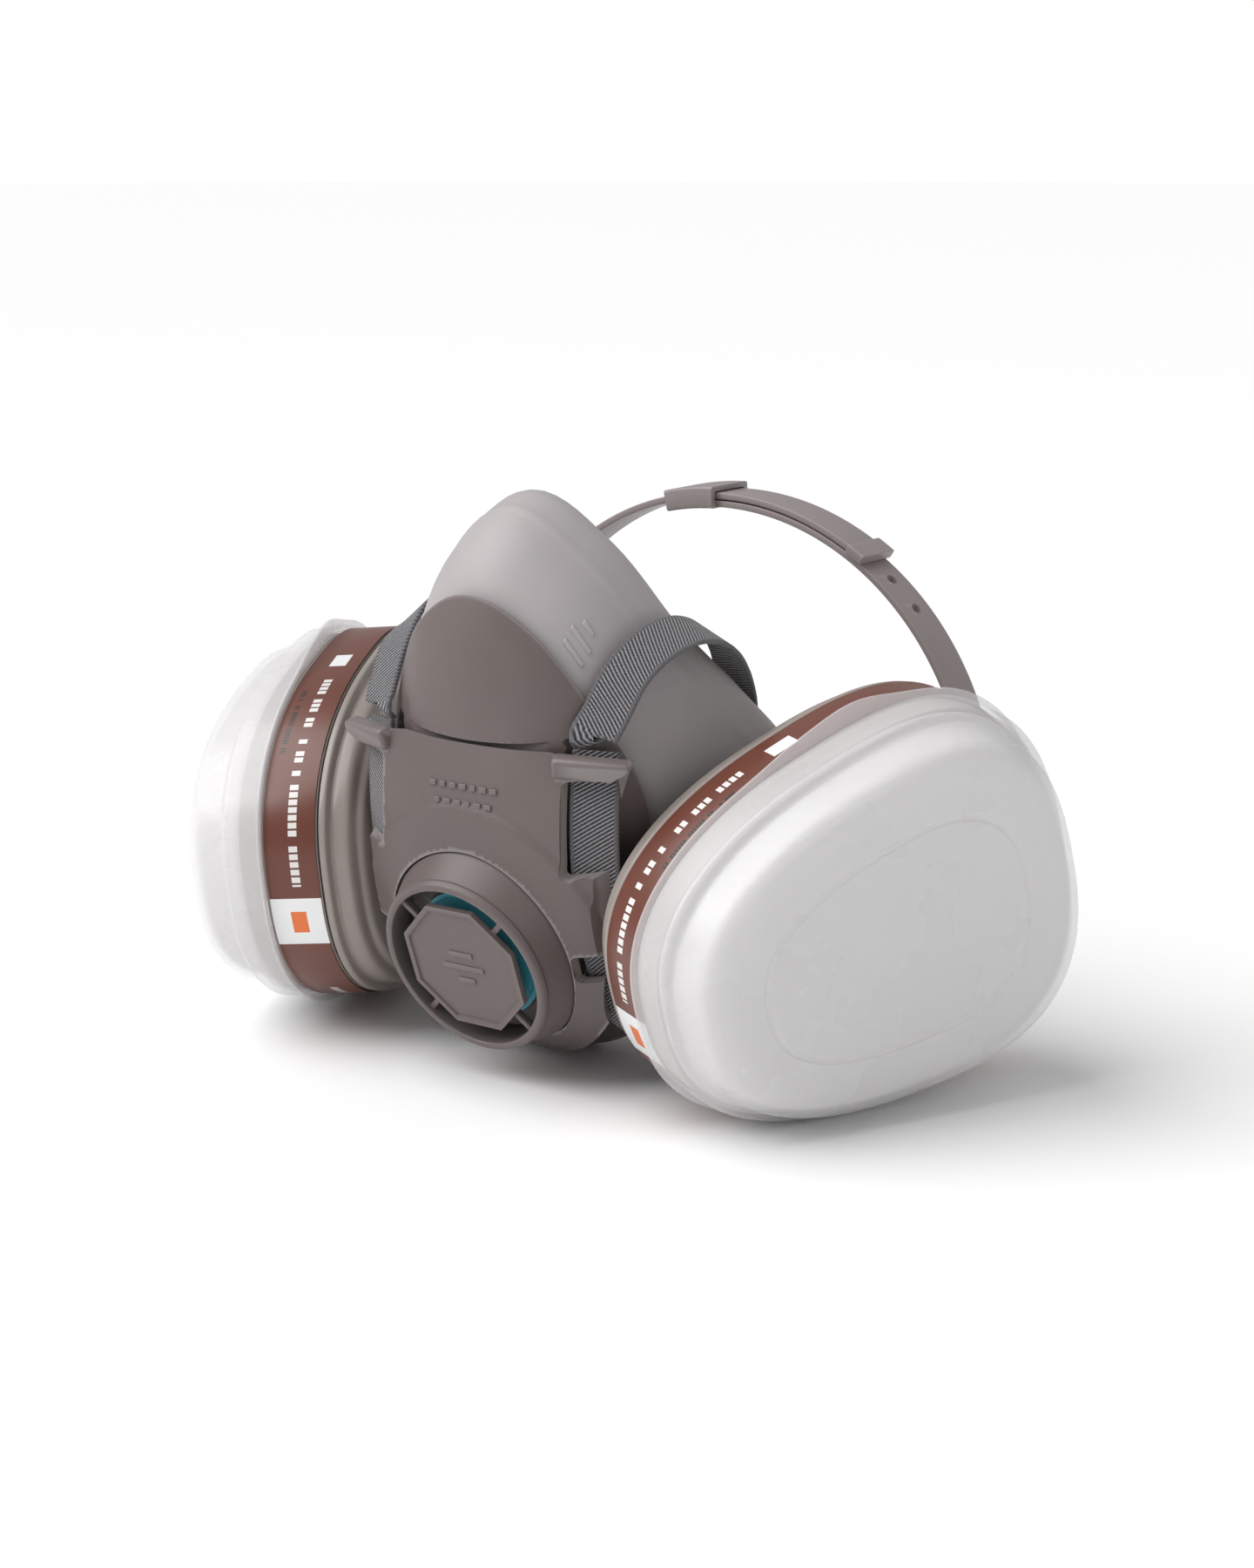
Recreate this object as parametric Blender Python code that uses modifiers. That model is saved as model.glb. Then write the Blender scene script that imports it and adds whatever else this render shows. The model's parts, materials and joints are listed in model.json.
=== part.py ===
"""Half-mask respirator with two bayonet cartridges, prefilter caps and a drop-down harness.

Lengths are millimetres until a mesh is made, where MM turns them into metres.

Two kinds of local frame carry the pieces:
  * the mask frame leans back by VALVE_PITCH: x to the wearer's left, y to the face, z up the mask,
    with the exhalation valve's axis along y at z = VALVE_HEIGHT;
  * a cartridge frame on each side: its z axis is the bayonet's axis and points away from the face,
    its x axis runs to the cartridge's wide end, and z = 0 is the open rim of the filter cap.
"""
import math

import bmesh
import bpy
import numpy as np
from mathutils import Matrix, Vector

MM = 0.001
GAP = 0.3                      # clearance between pieces that touch

# ---- facepiece -----------------------------------------------------------------------------
VALVE_PITCH = 20.0             # lean of the mask frame, degrees
VALVE_HEIGHT = 29.4            # valve axis above the mask frame's origin
FACE_FRONT = 13.0              # foremost depth of the soft facepiece's form
NOSE_REACH = 95.6              # valve axis to the nose end of the sealing edge
CHIN_REACH = 45.2              # valve axis to the chin end of the sealing edge
CHEEK_REACH = 52.0             # valve axis to the cheek part of the sealing edge
SEAL_WALL = 1.8
SHELL_WALL = 1.6
SHELL_EDGE = 30.0              # depth of the hard shell's rear edge
SHELL_PROUD = 0.7              # the hard shell stands this far outside the facepiece's form
SEAL_SUNK = 2.0                # the soft wall lies this far inside the form
# ---- yoke ----------------------------------------------------------------------------------
YOKE_WALL = 2.6
YOKE_TOP = 79.0
YOKE_BOTTOM = -5.5
YOKE_WIDTH = 43.0              # half width across the strap bars
SLOT_INNER = 26.5
SLOT_OUTER = 37.6
STRAP_WIDTH = 10.2
STRAP_THICK = 1.2
# ---- exhalation valve ----------------------------------------------------------------------
RING_RADIUS = 22.8
RING_FRONT = 4.6               # ring's front face ahead of the mask frame's origin
SKIRT_RADIUS = 26.0
SKIRT_DEPTH = 9.2
GUARD_RADIUS = 17.6            # corner radius of the eight-sided guard
EXHALE_FLAP_RADIUS = 16.9
FLAP_THICK = 0.8
# ---- bayonet ports -------------------------------------------------------------------------
CAP_CENTRE = (77.7, 29.4, 42.0)   # middle of the left cap's rim
PORT_YAW = 66.8                # bayonet axis from straight ahead, degrees
PORT_DROP = 5.0                # bayonet axis below level, degrees
PORT_DEPTH = 33.0              # cap rim to the port's seat on the facepiece
PORT_TUBE_RADIUS = 14.4
PORT_TUBE_WALL = 1.8
PORT_FLANGE_RADIUS = 20.0
LUG_REACH = 17.6
# ---- cartridges ----------------------------------------------------------------------------
CARTRIDGE_LENGTH = 114.4
CARTRIDGE_HEIGHT = 90.8
TAPER = 0.165
SQUARENESS = 2.57
LABEL_WIDTH = 13.4
CASE_WALL = 1.6
CAP_WALL = 1.1
CAP_STEP = 10.6                # rim to shoulder
CAP_DEPTH = 22.6               # rim to outer face
BACK_DEPTH = 25.3              # rim plane to the cartridge's back
LOCKED_TWIST = 17.5            # long axis above level when the bayonet is home, degrees
REST_TWIST = {1: 17.5, -1: 5.0}
UNLOCK_TURN = 30.0
# ---- harness -------------------------------------------------------------------------------
ARCH_RISE = 9.8                # top of the upper straps above NOSE_REACH
STRAP_LEAN = {1: 0.0, -1: 3.0}   # how far each upper strap leans in over the cheek
CRADLE_RADIUS = 73.0
CRADLE_CENTRE = (0.0, 97.0, 49.6)
CRADLE_WIDTH = 12.0
BAND_THICK = 1.7
CRADLE_END = 9.0               # band ends above level, degrees
SLEEVE_ANGLE = 92.0
SLEEVE_SPAN = 11.0
TIP_ANGLE = 58.0
GROUND = -3.7                  # lowest point of the whole object before it is centred
ROUND = 28                     # sides of a turned or lofted ring

SIDES = {"left": 1, "right": -1}


# ---- scene and helpers ---------------------------------------------------------------------
for old in list(bpy.data.objects):
    bpy.data.objects.remove(old)

PARTS = bpy.data.collections.new("respirator")
CUTTERS = bpy.data.collections.new("cutters")
bpy.context.scene.collection.children.link(PARTS)
bpy.context.scene.collection.children.link(CUTTERS)


def finish(name, colour, roughness, alpha=1.0):
    """A Principled material."""
    material = bpy.data.materials.new(name)
    material.use_nodes = True
    shader = material.node_tree.nodes["Principled BSDF"]
    shader.inputs["Base Color"].default_value = (*colour, 1.0)
    shader.inputs["Roughness"].default_value = roughness
    shader.inputs["Alpha"].default_value = alpha
    material.diffuse_color = (*colour, alpha)
    return material


ELASTOMER = finish("grey_elastomer", (0.33, 0.31, 0.31), 0.55)
DARK = finish("dark_moulding", (0.11, 0.09, 0.088), 0.45)
TAUPE = finish("cartridge_plastic", (0.28, 0.25, 0.23), 0.4)
LABEL = finish("label_print", (0.20, 0.045, 0.012), 0.35)
CARBON = finish("carbon_granules", (0.02, 0.02, 0.02), 0.9)
MESH = finish("screen_mesh", (0.6, 0.6, 0.58), 0.6)
FLEECE = finish("filter_fleece", (0.85, 0.85, 0.85), 0.95)
FROSTED = finish("frosted_cap", (0.75, 0.74, 0.75), 0.3, 0.6)
SILICONE = finish("blue_silicone", (0.03, 0.20, 0.32), 0.4)
RUBBER = finish("gasket_rubber", (0.05, 0.05, 0.05), 0.7)
WEBBING = finish("woven_webbing", (0.12, 0.12, 0.13), 0.9)
CRADLE = finish("cradle_plastic", (0.42, 0.39, 0.38), 0.45)


def frame(name, matrix=None, parent=None):
    """An empty that carries a local frame."""
    empty = bpy.data.objects.new(name, None)
    PARTS.objects.link(empty)
    empty.parent = parent
    empty.matrix_local = matrix or Matrix()
    return empty


def add(name, body, material, parent, collection=PARTS):
    """An object from a bmesh, in its parent's frame."""
    mesh = bpy.data.meshes.new(name)
    body.to_mesh(mesh)
    body.free()
    obj = bpy.data.objects.new(name, mesh)
    collection.objects.link(obj)
    obj.parent = parent
    if material:
        mesh.materials.append(material)
        mesh.shade_smooth()
        mesh.set_sharp_from_angle(angle=math.radians(35))
    return obj


def loft(rings, closed=False):
    """Quads between rings of points; open ends are filled, and closed joins last to first."""
    body = bmesh.new()
    loops = [[body.verts.new(Vector(p) * MM) for p in ring] for ring in rings]
    pairs = list(zip(loops, loops[1:]))
    if closed:
        pairs.append((loops[-1], loops[0]))
    for low, high in pairs:
        count = len(low)
        for i in range(count):
            j = (i + 1) % count
            body.faces.new((low[i], low[j], high[j], high[i]))
    if not closed:
        body.faces.new(reversed(loops[0]))
        body.faces.new(loops[-1])
    bmesh.ops.recalc_face_normals(body, faces=body.faces)
    return body


def sheet(rows):
    """An open sheet of quads through rows of points."""
    body = bmesh.new()
    grid = [[body.verts.new(Vector(p) * MM) for p in row] for row in rows]
    for low, high in zip(grid, grid[1:]):
        for i in range(len(low) - 1):
            body.faces.new((low[i], low[i + 1], high[i + 1], high[i]))
    return body


def turned(name, profile, material, parent, collection=PARTS, steps=ROUND):
    """A closed profile of (radius, height) turned about the frame's z axis."""
    corners = list(zip(profile, profile[1:] + profile[:1]))
    area = sum(a[0] * b[1] - b[0] * a[1] for a, b in corners)
    if area > 0:
        profile = profile[::-1]
    body = bmesh.new()
    verts = [body.verts.new((r * MM, 0.0, z * MM)) for r, z in profile]
    for a, b in zip(verts, verts[1:]):
        body.edges.new((a, b))
    if min(r for r, _ in profile) > 1e-6:
        body.edges.new((verts[-1], verts[0]))
    obj = add(name, body, material, parent, collection)
    screw = obj.modifiers.new("turn", "SCREW")
    screw.steps = steps
    screw.render_steps = steps
    screw.use_merge_vertices = True
    screw.merge_threshold = 1e-6
    return obj


def box(name, size, centre, material, parent, rotation=(0, 0, 0), collection=PARTS):
    """A box of full size about its centre, turned in its parent's frame."""
    body = bmesh.new()
    place = Matrix.Translation(Vector(centre) * MM)
    for axis, angle in zip("XYZ", rotation):
        place = place @ Matrix.Rotation(math.radians(angle), 4, axis)
    bmesh.ops.create_cube(body, size=1.0)
    bmesh.ops.scale(body, verts=body.verts, vec=Vector(size) * MM)
    bmesh.ops.transform(body, verts=body.verts, matrix=place)
    return add(name, body, material, parent, collection)


def boolean(obj, tool, operation="DIFFERENCE"):
    """Cut or join with another object, which becomes a cutter."""
    if tool.name not in CUTTERS.objects:
        PARTS.objects.unlink(tool)
        CUTTERS.objects.link(tool)
    tool.hide_render = True
    tool.display_type = "WIRE"
    modifier = obj.modifiers.new(tool.name, "BOOLEAN")
    modifier.object = tool
    modifier.operation = operation
    modifier.solver = "EXACT"


def solidify(obj, wall):
    """Thickness behind the sheet's outward side."""
    modifier = obj.modifiers.new("wall", "SOLIDIFY")
    modifier.thickness = wall * MM
    modifier.offset = -1.0


def mirror(obj):
    """Cut a left half at x = 0 and add its other half."""
    modifier = obj.modifiers.new("other_half", "MIRROR")
    modifier.use_bisect_axis[0] = True
    modifier.use_clip = True
    modifier.merge_threshold = 1e-5
    modifier.bisect_threshold = 1e-6


def blend(stations, at):
    """Smooth value through (position, value) stations, level at both ends."""
    xs = [s[0] for s in stations]
    ys = [s[1] for s in stations]
    at = min(max(at, xs[0]), xs[-1])
    i = min(max(int(np.searchsorted(xs, at)) - 1, 0), len(xs) - 2)

    def slope(k):
        if k in (0, len(xs) - 1):
            return 0.0
        return (ys[k + 1] - ys[k - 1]) / (xs[k + 1] - xs[k - 1])

    span = xs[i + 1] - xs[i]
    t = (at - xs[i]) / span
    return ((2 * t**3 - 3 * t**2 + 1) * ys[i] + (t**3 - 2 * t**2 + t) * span * slope(i)
            + (3 * t**2 - 2 * t**3) * ys[i + 1] + (t**3 - t**2) * span * slope(i + 1))


# ---- frames --------------------------------------------------------------------------------
ORIGIN = frame("respirator_origin")
MASK_MATRIX = Matrix.Rotation(math.radians(VALVE_PITCH), 4, "X")
MASK = frame("mask_frame", MASK_MATRIX, ORIGIN)
VALVE_MATRIX = Matrix.Translation((0, 0, VALVE_HEIGHT * MM)) @ Matrix.Rotation(math.pi / 2, 4, "X")
VALVE = frame("valve_frame", VALVE_MATRIX, MASK)


def port_axis(side):
    """Unit vector along the bayonet, away from the face."""
    yaw, drop = math.radians(PORT_YAW), math.radians(PORT_DROP)
    return Vector((side * math.sin(yaw) * math.cos(drop),
                   -math.cos(yaw) * math.cos(drop), -math.sin(drop)))


def cartridge_matrix(side, twist):
    """Cartridge frame with its long axis raised by twist."""
    out = port_axis(side)
    back = Vector((side * math.cos(math.radians(PORT_YAW)), math.sin(math.radians(PORT_YAW)), 0))
    up = back.cross(out) * side
    if up.z < 0:
        up = -up
    long_axis = back * math.cos(math.radians(twist)) + up * math.sin(math.radians(twist))
    long_axis.normalize()
    across = out.cross(long_axis)
    centre = Vector((side * CAP_CENTRE[0], CAP_CENTRE[1], CAP_CENTRE[2])) * MM
    matrix = Matrix((long_axis, across, out)).transposed().to_4x4()
    matrix.translation = centre
    return matrix


PORTS = {s: frame(f"port_frame_{s}", cartridge_matrix(v, LOCKED_TWIST), ORIGIN)
         for s, v in SIDES.items()}
CARTRIDGES = {s: frame(f"cartridge_frame_{s}", cartridge_matrix(v, REST_TWIST[v]), ORIGIN)
              for s, v in SIDES.items()}


# ---- the facepiece's form ------------------------------------------------------------------
REACH = [(-90, CHIN_REACH), (-60, CHIN_REACH - 1.5), (-30, 0.5 * (CHIN_REACH + CHEEK_REACH) - 1),
         (0, CHEEK_REACH), (27, CHEEK_REACH + 3.0), (45, CHEEK_REACH + 7.6),
         (63, NOSE_REACH - 24.6), (78, NOSE_REACH - 8.2), (90, NOSE_REACH)]
EDGE = [(-90, 42), (-60, 49), (-30, 62), (0, 71), (27, 71), (45, 66), (63, 59), (78, 57), (90, 58)]
POWER = [(-90, 2.6), (-45, 2.2), (0, 1.6), (20, 1.7), (45, 2.75), (60, 2.7), (90, 2.5)]
LIP = [(0.9, 2.4), (3.0, 4.5), (6.3, 5.6), (10.0, 5.4), (13.2, 4.0)]


def around(stations, angle):
    """Station value at an angle about the valve axis, the same on both sides of the middle."""
    if angle > 90:
        angle = 180 - angle
    if angle < -90:
        angle = -180 - angle
    return blend(stations, angle)


def form(angle, turn, grow=0.0):
    """Mask-frame point at an angle about the valve axis; turn goes from front (0) to edge (90)."""
    power = around(POWER, angle)
    outward = math.sin(math.radians(turn)) ** (2 / power)
    forward = math.cos(math.radians(turn)) ** (2 / power) if turn < 90 else 0.0
    lateral = (around(REACH, angle) + grow) * outward
    edge = around(EDGE, angle)
    depth = edge + (FACE_FRONT - grow - edge) * forward
    return Vector((lateral * math.cos(math.radians(angle)), depth,
                   VALVE_HEIGHT + lateral * math.sin(math.radians(angle))))


def turn_at_depth(angle, depth, grow=0.0):
    """The turn at which the form reaches a depth."""
    edge = around(EDGE, angle)
    forward = (edge - depth) / (edge - FACE_FRONT + grow)
    return math.degrees(math.acos(forward ** (around(POWER, angle) / 2)))


def lip_point(angle, inset, depth):
    """A point of the in-turned sealing lip, inset from the facepiece's edge."""
    reach = around(REACH, angle) - SEAL_SUNK - inset
    return Vector((reach * math.cos(math.radians(angle)), around(EDGE, angle) + depth,
                   VALVE_HEIGHT + reach * math.sin(math.radians(angle))))


ANGLES = [94.0 - 188.0 * i / 23 for i in range(24)]
SEAL_START = 27.2              # depth of the soft wall's front opening


def make_face_seal():
    """Soft facepiece: a wall from under the hard shell to the in-turned lip, with two port seats."""
    rows = []
    for k in range(7):
        row = []
        for angle in ANGLES:
            start = turn_at_depth(angle, SEAL_START, -SEAL_SUNK)
            row.append(form(angle, start + (90 - start) * k / 6, -SEAL_SUNK))
        rows.append(row)
    for inset, depth in LIP:
        rows.append([lip_point(angle, inset, depth) for angle in ANGLES])
    seal = add("face_seal", sheet(rows), ELASTOMER, MASK)
    solidify(seal, SEAL_WALL)
    seat = -PORT_DEPTH - GAP
    boss = turned("port_boss", [(0, seat + 1), (22.5, seat + 1), (22.5, seat - 6), (0, seat - 6)],
                  None, PORTS["left"], CUTTERS, 20)
    boolean(seal, boss, "UNION")
    bore = PORT_TUBE_RADIUS + GAP
    clear = turned("port_clearance",
                   [(0, seat + 14), (21.0, seat + 14), (21.0, seat), (bore, seat), (bore, seat - 3),
                    (21.0, seat - 3), (21.0, seat - 18), (0, seat - 18)],
                   None, PORTS["left"], CUTTERS, 20)
    boolean(seal, clear)
    mirror(seal)


def make_front_shell():
    """Hard nose shell with side lobes, stepped back where the yoke lies on it."""
    rows = []
    for k in range(8):
        row = []
        for angle in ANGLES:
            end = turn_at_depth(angle, SHELL_EDGE, SHELL_PROUD)
            start = 15.0
            row.append(form(angle, start + (end - start) * k / 7, SHELL_PROUD))
        rows.append(row)
    body = sheet(rows)
    step = YOKE_TOP + GAP + 0.4
    for height in (step, step - 0.4):
        geometry = body.verts[:] + body.edges[:] + body.faces[:]
        bmesh.ops.bisect_plane(body, geom=geometry, plane_co=(0, 0, height * MM), plane_no=(0, 0, 1))
    for vert in body.verts:
        x, z = vert.co.x / MM, vert.co.z / MM
        if z < step - 0.2:
            behind = YOKE_WALL + GAP + 0.1
            if x > SLOT_INNER - 2.0:
                behind = BEHIND + STRAP_THICK + GAP
            slope_x = yoke_depth(x + 0.5, z) - yoke_depth(x - 0.5, z)
            slope_z = yoke_depth(x, z + 0.5) - yoke_depth(x, z - 0.5)
            least = yoke_depth(x, z) + behind * math.sqrt(1 + slope_x**2 + slope_z**2)
            vert.co.y = max(vert.co.y, min(least, SEAL_START - 2.4) * MM)
    shell = add("front_shell", body, DARK, MASK)
    solidify(shell, SHELL_WALL)
    bore = turned("shell_bore", [(0, 20), (SEAT_RADIUS + GAP, 20), (SEAT_RADIUS + GAP, -40), (0, -40)],
                  None, VALVE, CUTTERS)
    boolean(shell, bore)
    mirror(shell)


# ---- yoke ----------------------------------------------------------------------------------
SEAT_RADIUS = 21.0             # outside of the exhalation valve's seat tube
WRAP_WIDTH = 52.0              # half width at which the yoke's face turns fully back
WRAP_DEPTH = 55.0
YOKE_EDGE = [(0, 30.0), (0.2, 34.0), (0.4, 36.5), (0.6, 38.5), (0.77, 41.0), (1, YOKE_WIDTH)]


def yoke_depth(x, z):
    """Depth of the yoke's front face."""
    bow = 0.0054 if z > 28 else 0.0115
    turn = min(abs(x) / WRAP_WIDTH, 0.99)
    return 1.6 + bow * (z - 28) ** 2 + WRAP_DEPTH * (1 - (1 - turn**3) ** (1 / 3))


def yoke_top(x):
    """Height of the yoke's upper edge."""
    return YOKE_TOP - 0.2 * max(0.0, x - 22.0)


def yoke_bottom(x):
    """Height of the yoke's lower edge."""
    return YOKE_BOTTOM + 0.02 * x * x


def swept_outline(grow, height):
    """Widest reach of a cartridge turned either way from home, in the left port's frame."""
    turns = [UNLOCK_TURN * k / 4 for k in range(-4, 5)]
    polar = [(math.atan2(y, x), math.hypot(x, y)) for x, y, z in cartridge_ring(1, -grow, 0, 144)]

    def reach(angle):
        return min(polar, key=lambda p: abs((p[0] - angle + math.pi) % (2 * math.pi) - math.pi))[1]

    points = []
    for i in range(ROUND):
        angle = 2 * math.pi * i / ROUND
        far = max(reach(angle - math.radians(turn)) for turn in turns)
        points.append((far * math.cos(angle), far * math.sin(angle), height))
    return points


def make_yoke():
    """Harness yoke: wrapped plate with strap slots, raised strap bars and the valve opening."""
    rows = []
    overlap = 3.1
    for k in range(11):
        v = k / 10
        row = []
        for i in range(11):
            x = -overlap + (blend(YOKE_EDGE, v) + overlap) * i / 10
            z = yoke_bottom(x) + v * (yoke_top(x) - yoke_bottom(x))
            row.append((x, yoke_depth(x, z), z))
        rows.append(row)
    yoke = add("harness_yoke", sheet(rows), DARK, MASK)
    solidify(yoke, YOKE_WALL)
    middle = 0.5 * (SLOT_INNER + SLOT_OUTER)
    slope = math.degrees(math.atan2(yoke_depth(41, 75) - yoke_depth(25, 77), 16))
    bar_place = (33.6, yoke_depth(33.6, 76) + 0.2, 75.4)
    bar = box("strap_bar", (20.0, 3.8, 4.6), bar_place, None, MASK, (0, 9, 0), CUTTERS)
    turn_about(bar, bar_place, slope)
    boolean(yoke, bar, "UNION")
    for name, low, high in (("upper", 51.5, 73.0), ("lower", 25.6, 32.6)):
        slot = box(f"{name}_slot", (SLOT_OUTER - SLOT_INNER, 60, high - low),
                   (middle, 20, 0.5 * (low + high)), None, MASK, (0, 0, 0), CUTTERS)
        boolean(yoke, slot)
    sweep = loft([swept_outline(1.0 - 2.6, -BACK_DEPTH - 1.2), swept_outline(1.0 - 2.6, 8.0)])
    boolean(yoke, add("cartridge_sweep", sweep, None, PORTS["left"], CUTTERS))
    hole = turned("yoke_bore", [(0, 20), (SKIRT_RADIUS + GAP, 20), (SKIRT_RADIUS + GAP, -30), (0, -30)],
                  None, VALVE, CUTTERS)
    boolean(yoke, hole)
    mirror(yoke)


def turn_about(obj, centre, angle):
    """Turn an object's mesh about a mask-frame z line through centre."""
    pivot = Vector(centre) * MM
    spin = (Matrix.Translation(pivot) @ Matrix.Rotation(math.radians(angle), 4, "Z")
            @ Matrix.Translation(-pivot))
    obj.data.transform(spin)


# ---- exhalation valve, in the valve frame: z forward ---------------------------------------
def make_exhale_valve():
    """Cover with skirt, spokes and guard; seat with crossbars and a stem; the flap between them."""
    front, back = RING_FRONT, RING_FRONT - SKIRT_DEPTH
    inner = RING_RADIUS - 1.8
    cover = turned("valve_cover",
                   [(RING_RADIUS, front), (SKIRT_RADIUS, back), (SKIRT_RADIUS, back - 2.5),
                    (SEAT_RADIUS + 1.6, back - 2.5), (SEAT_RADIUS + 0.7, back), (inner, front)],
                   DARK, VALVE)
    guard = bmesh.new()
    bmesh.ops.create_cone(guard, segments=8, cap_ends=True, radius1=GUARD_RADIUS * MM,
                          radius2=GUARD_RADIUS * MM, depth=1.6 * MM,
                          matrix=Matrix.Translation((0, 0, (front - 0.9) * MM))
                          @ Matrix.Rotation(math.pi / 8, 4, "Z"))
    boolean(cover, add("octagon_guard", guard, None, VALVE, CUTTERS), "UNION")
    for k in range(4):
        spoke = box(f"guard_spoke_{k}", (7.0, 1.5, 2.0), (0, 0, 0), None, VALVE, (0, 0, 0), CUTTERS)
        angle = math.pi / 4 + k * math.pi / 2
        spoke.data.transform(Matrix.Rotation(angle, 4, "Z")
                             @ Matrix.Translation((18.4 * MM, 0, (front - 2.2) * MM)))
        boolean(cover, spoke, "UNION")
    seat_top = RING_FRONT - 7.6
    seat = turned("exhale_valve_seat",
                  [(SEAT_RADIUS, seat_top - 0.6), (SEAT_RADIUS, seat_top - 14), (SEAT_RADIUS - 2, seat_top - 14),
                   (SEAT_RADIUS - 2, seat_top - 1.8), (EXHALE_FLAP_RADIUS - 1.6, seat_top - 1.8),
                   (EXHALE_FLAP_RADIUS - 1.6, seat_top - 0.2), (EXHALE_FLAP_RADIUS - 0.6, seat_top),
                   (EXHALE_FLAP_RADIUS + 0.4, seat_top - 0.6)],
                  DARK, VALVE)
    for k in range(3):
        bar = box(f"seat_bar_{k}", (32.0, 1.8, 1.8), (0, 0, seat_top - 2.4), None, VALVE,
                  (0, 0, 60 * k + 15), CUTTERS)
        boolean(seat, bar, "UNION")
    stem = turned("seat_stem", [(0, seat_top + 1.0), (1.6, seat_top + 1.0), (1.6, seat_top - 3), (0, seat_top - 3)],
                  None, VALVE, CUTTERS, 12)
    boolean(seat, stem, "UNION")
    low = seat_top + GAP
    turned("exhale_flap",
           [(EXHALE_FLAP_RADIUS, low), (1.6 + GAP, low), (1.6 + GAP, low + FLAP_THICK),
            (EXHALE_FLAP_RADIUS, low + FLAP_THICK)],
           SILICONE, VALVE)


# ---- cartridges, in the cartridge frame: z outward -----------------------------------------
def cartridge_ring(side, offset, height, count=ROUND, swell=None):
    """Tapered superellipse ring, drawn in from the cap's rim by offset."""
    length = 0.5 * CARTRIDGE_LENGTH
    high = 0.5 * CARTRIDGE_HEIGHT
    ring = []
    for i in range(count):
        angle = 2 * math.pi * i / count
        inset = offset - (swell(angle) if swell else 0.0)
        c, s = math.cos(angle), math.sin(angle)
        x = math.copysign(abs(c) ** (2 / SQUARENESS), c)
        y = math.copysign(abs(s) ** (2 / SQUARENESS), s) * (1 + TAPER * x)
        ring.append(((length - inset) * x, side * (high - inset) * y, height))
    return ring


def round_ring(side, radius, height, notch=None, count=ROUND):
    """Round ring matched to cartridge_ring's order; notch = (deeper radius, half width, turn)."""
    ring = []
    for i in range(count):
        angle = 2 * math.pi * i / count
        reach = radius
        if notch:
            deep, half, turn = notch
            local = (math.degrees(angle) - turn + 60) % 120 - 60
            if abs(local) < half:
                reach = deep
        ring.append((reach * math.cos(angle), side * reach * math.sin(angle), height))
    return ring


def tab(angle):
    """Swell of the cap's rim at its lifting tab."""
    away = math.degrees(angle) - 84
    return 3.0 * math.exp(-(away / 11.0) ** 2)


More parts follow.
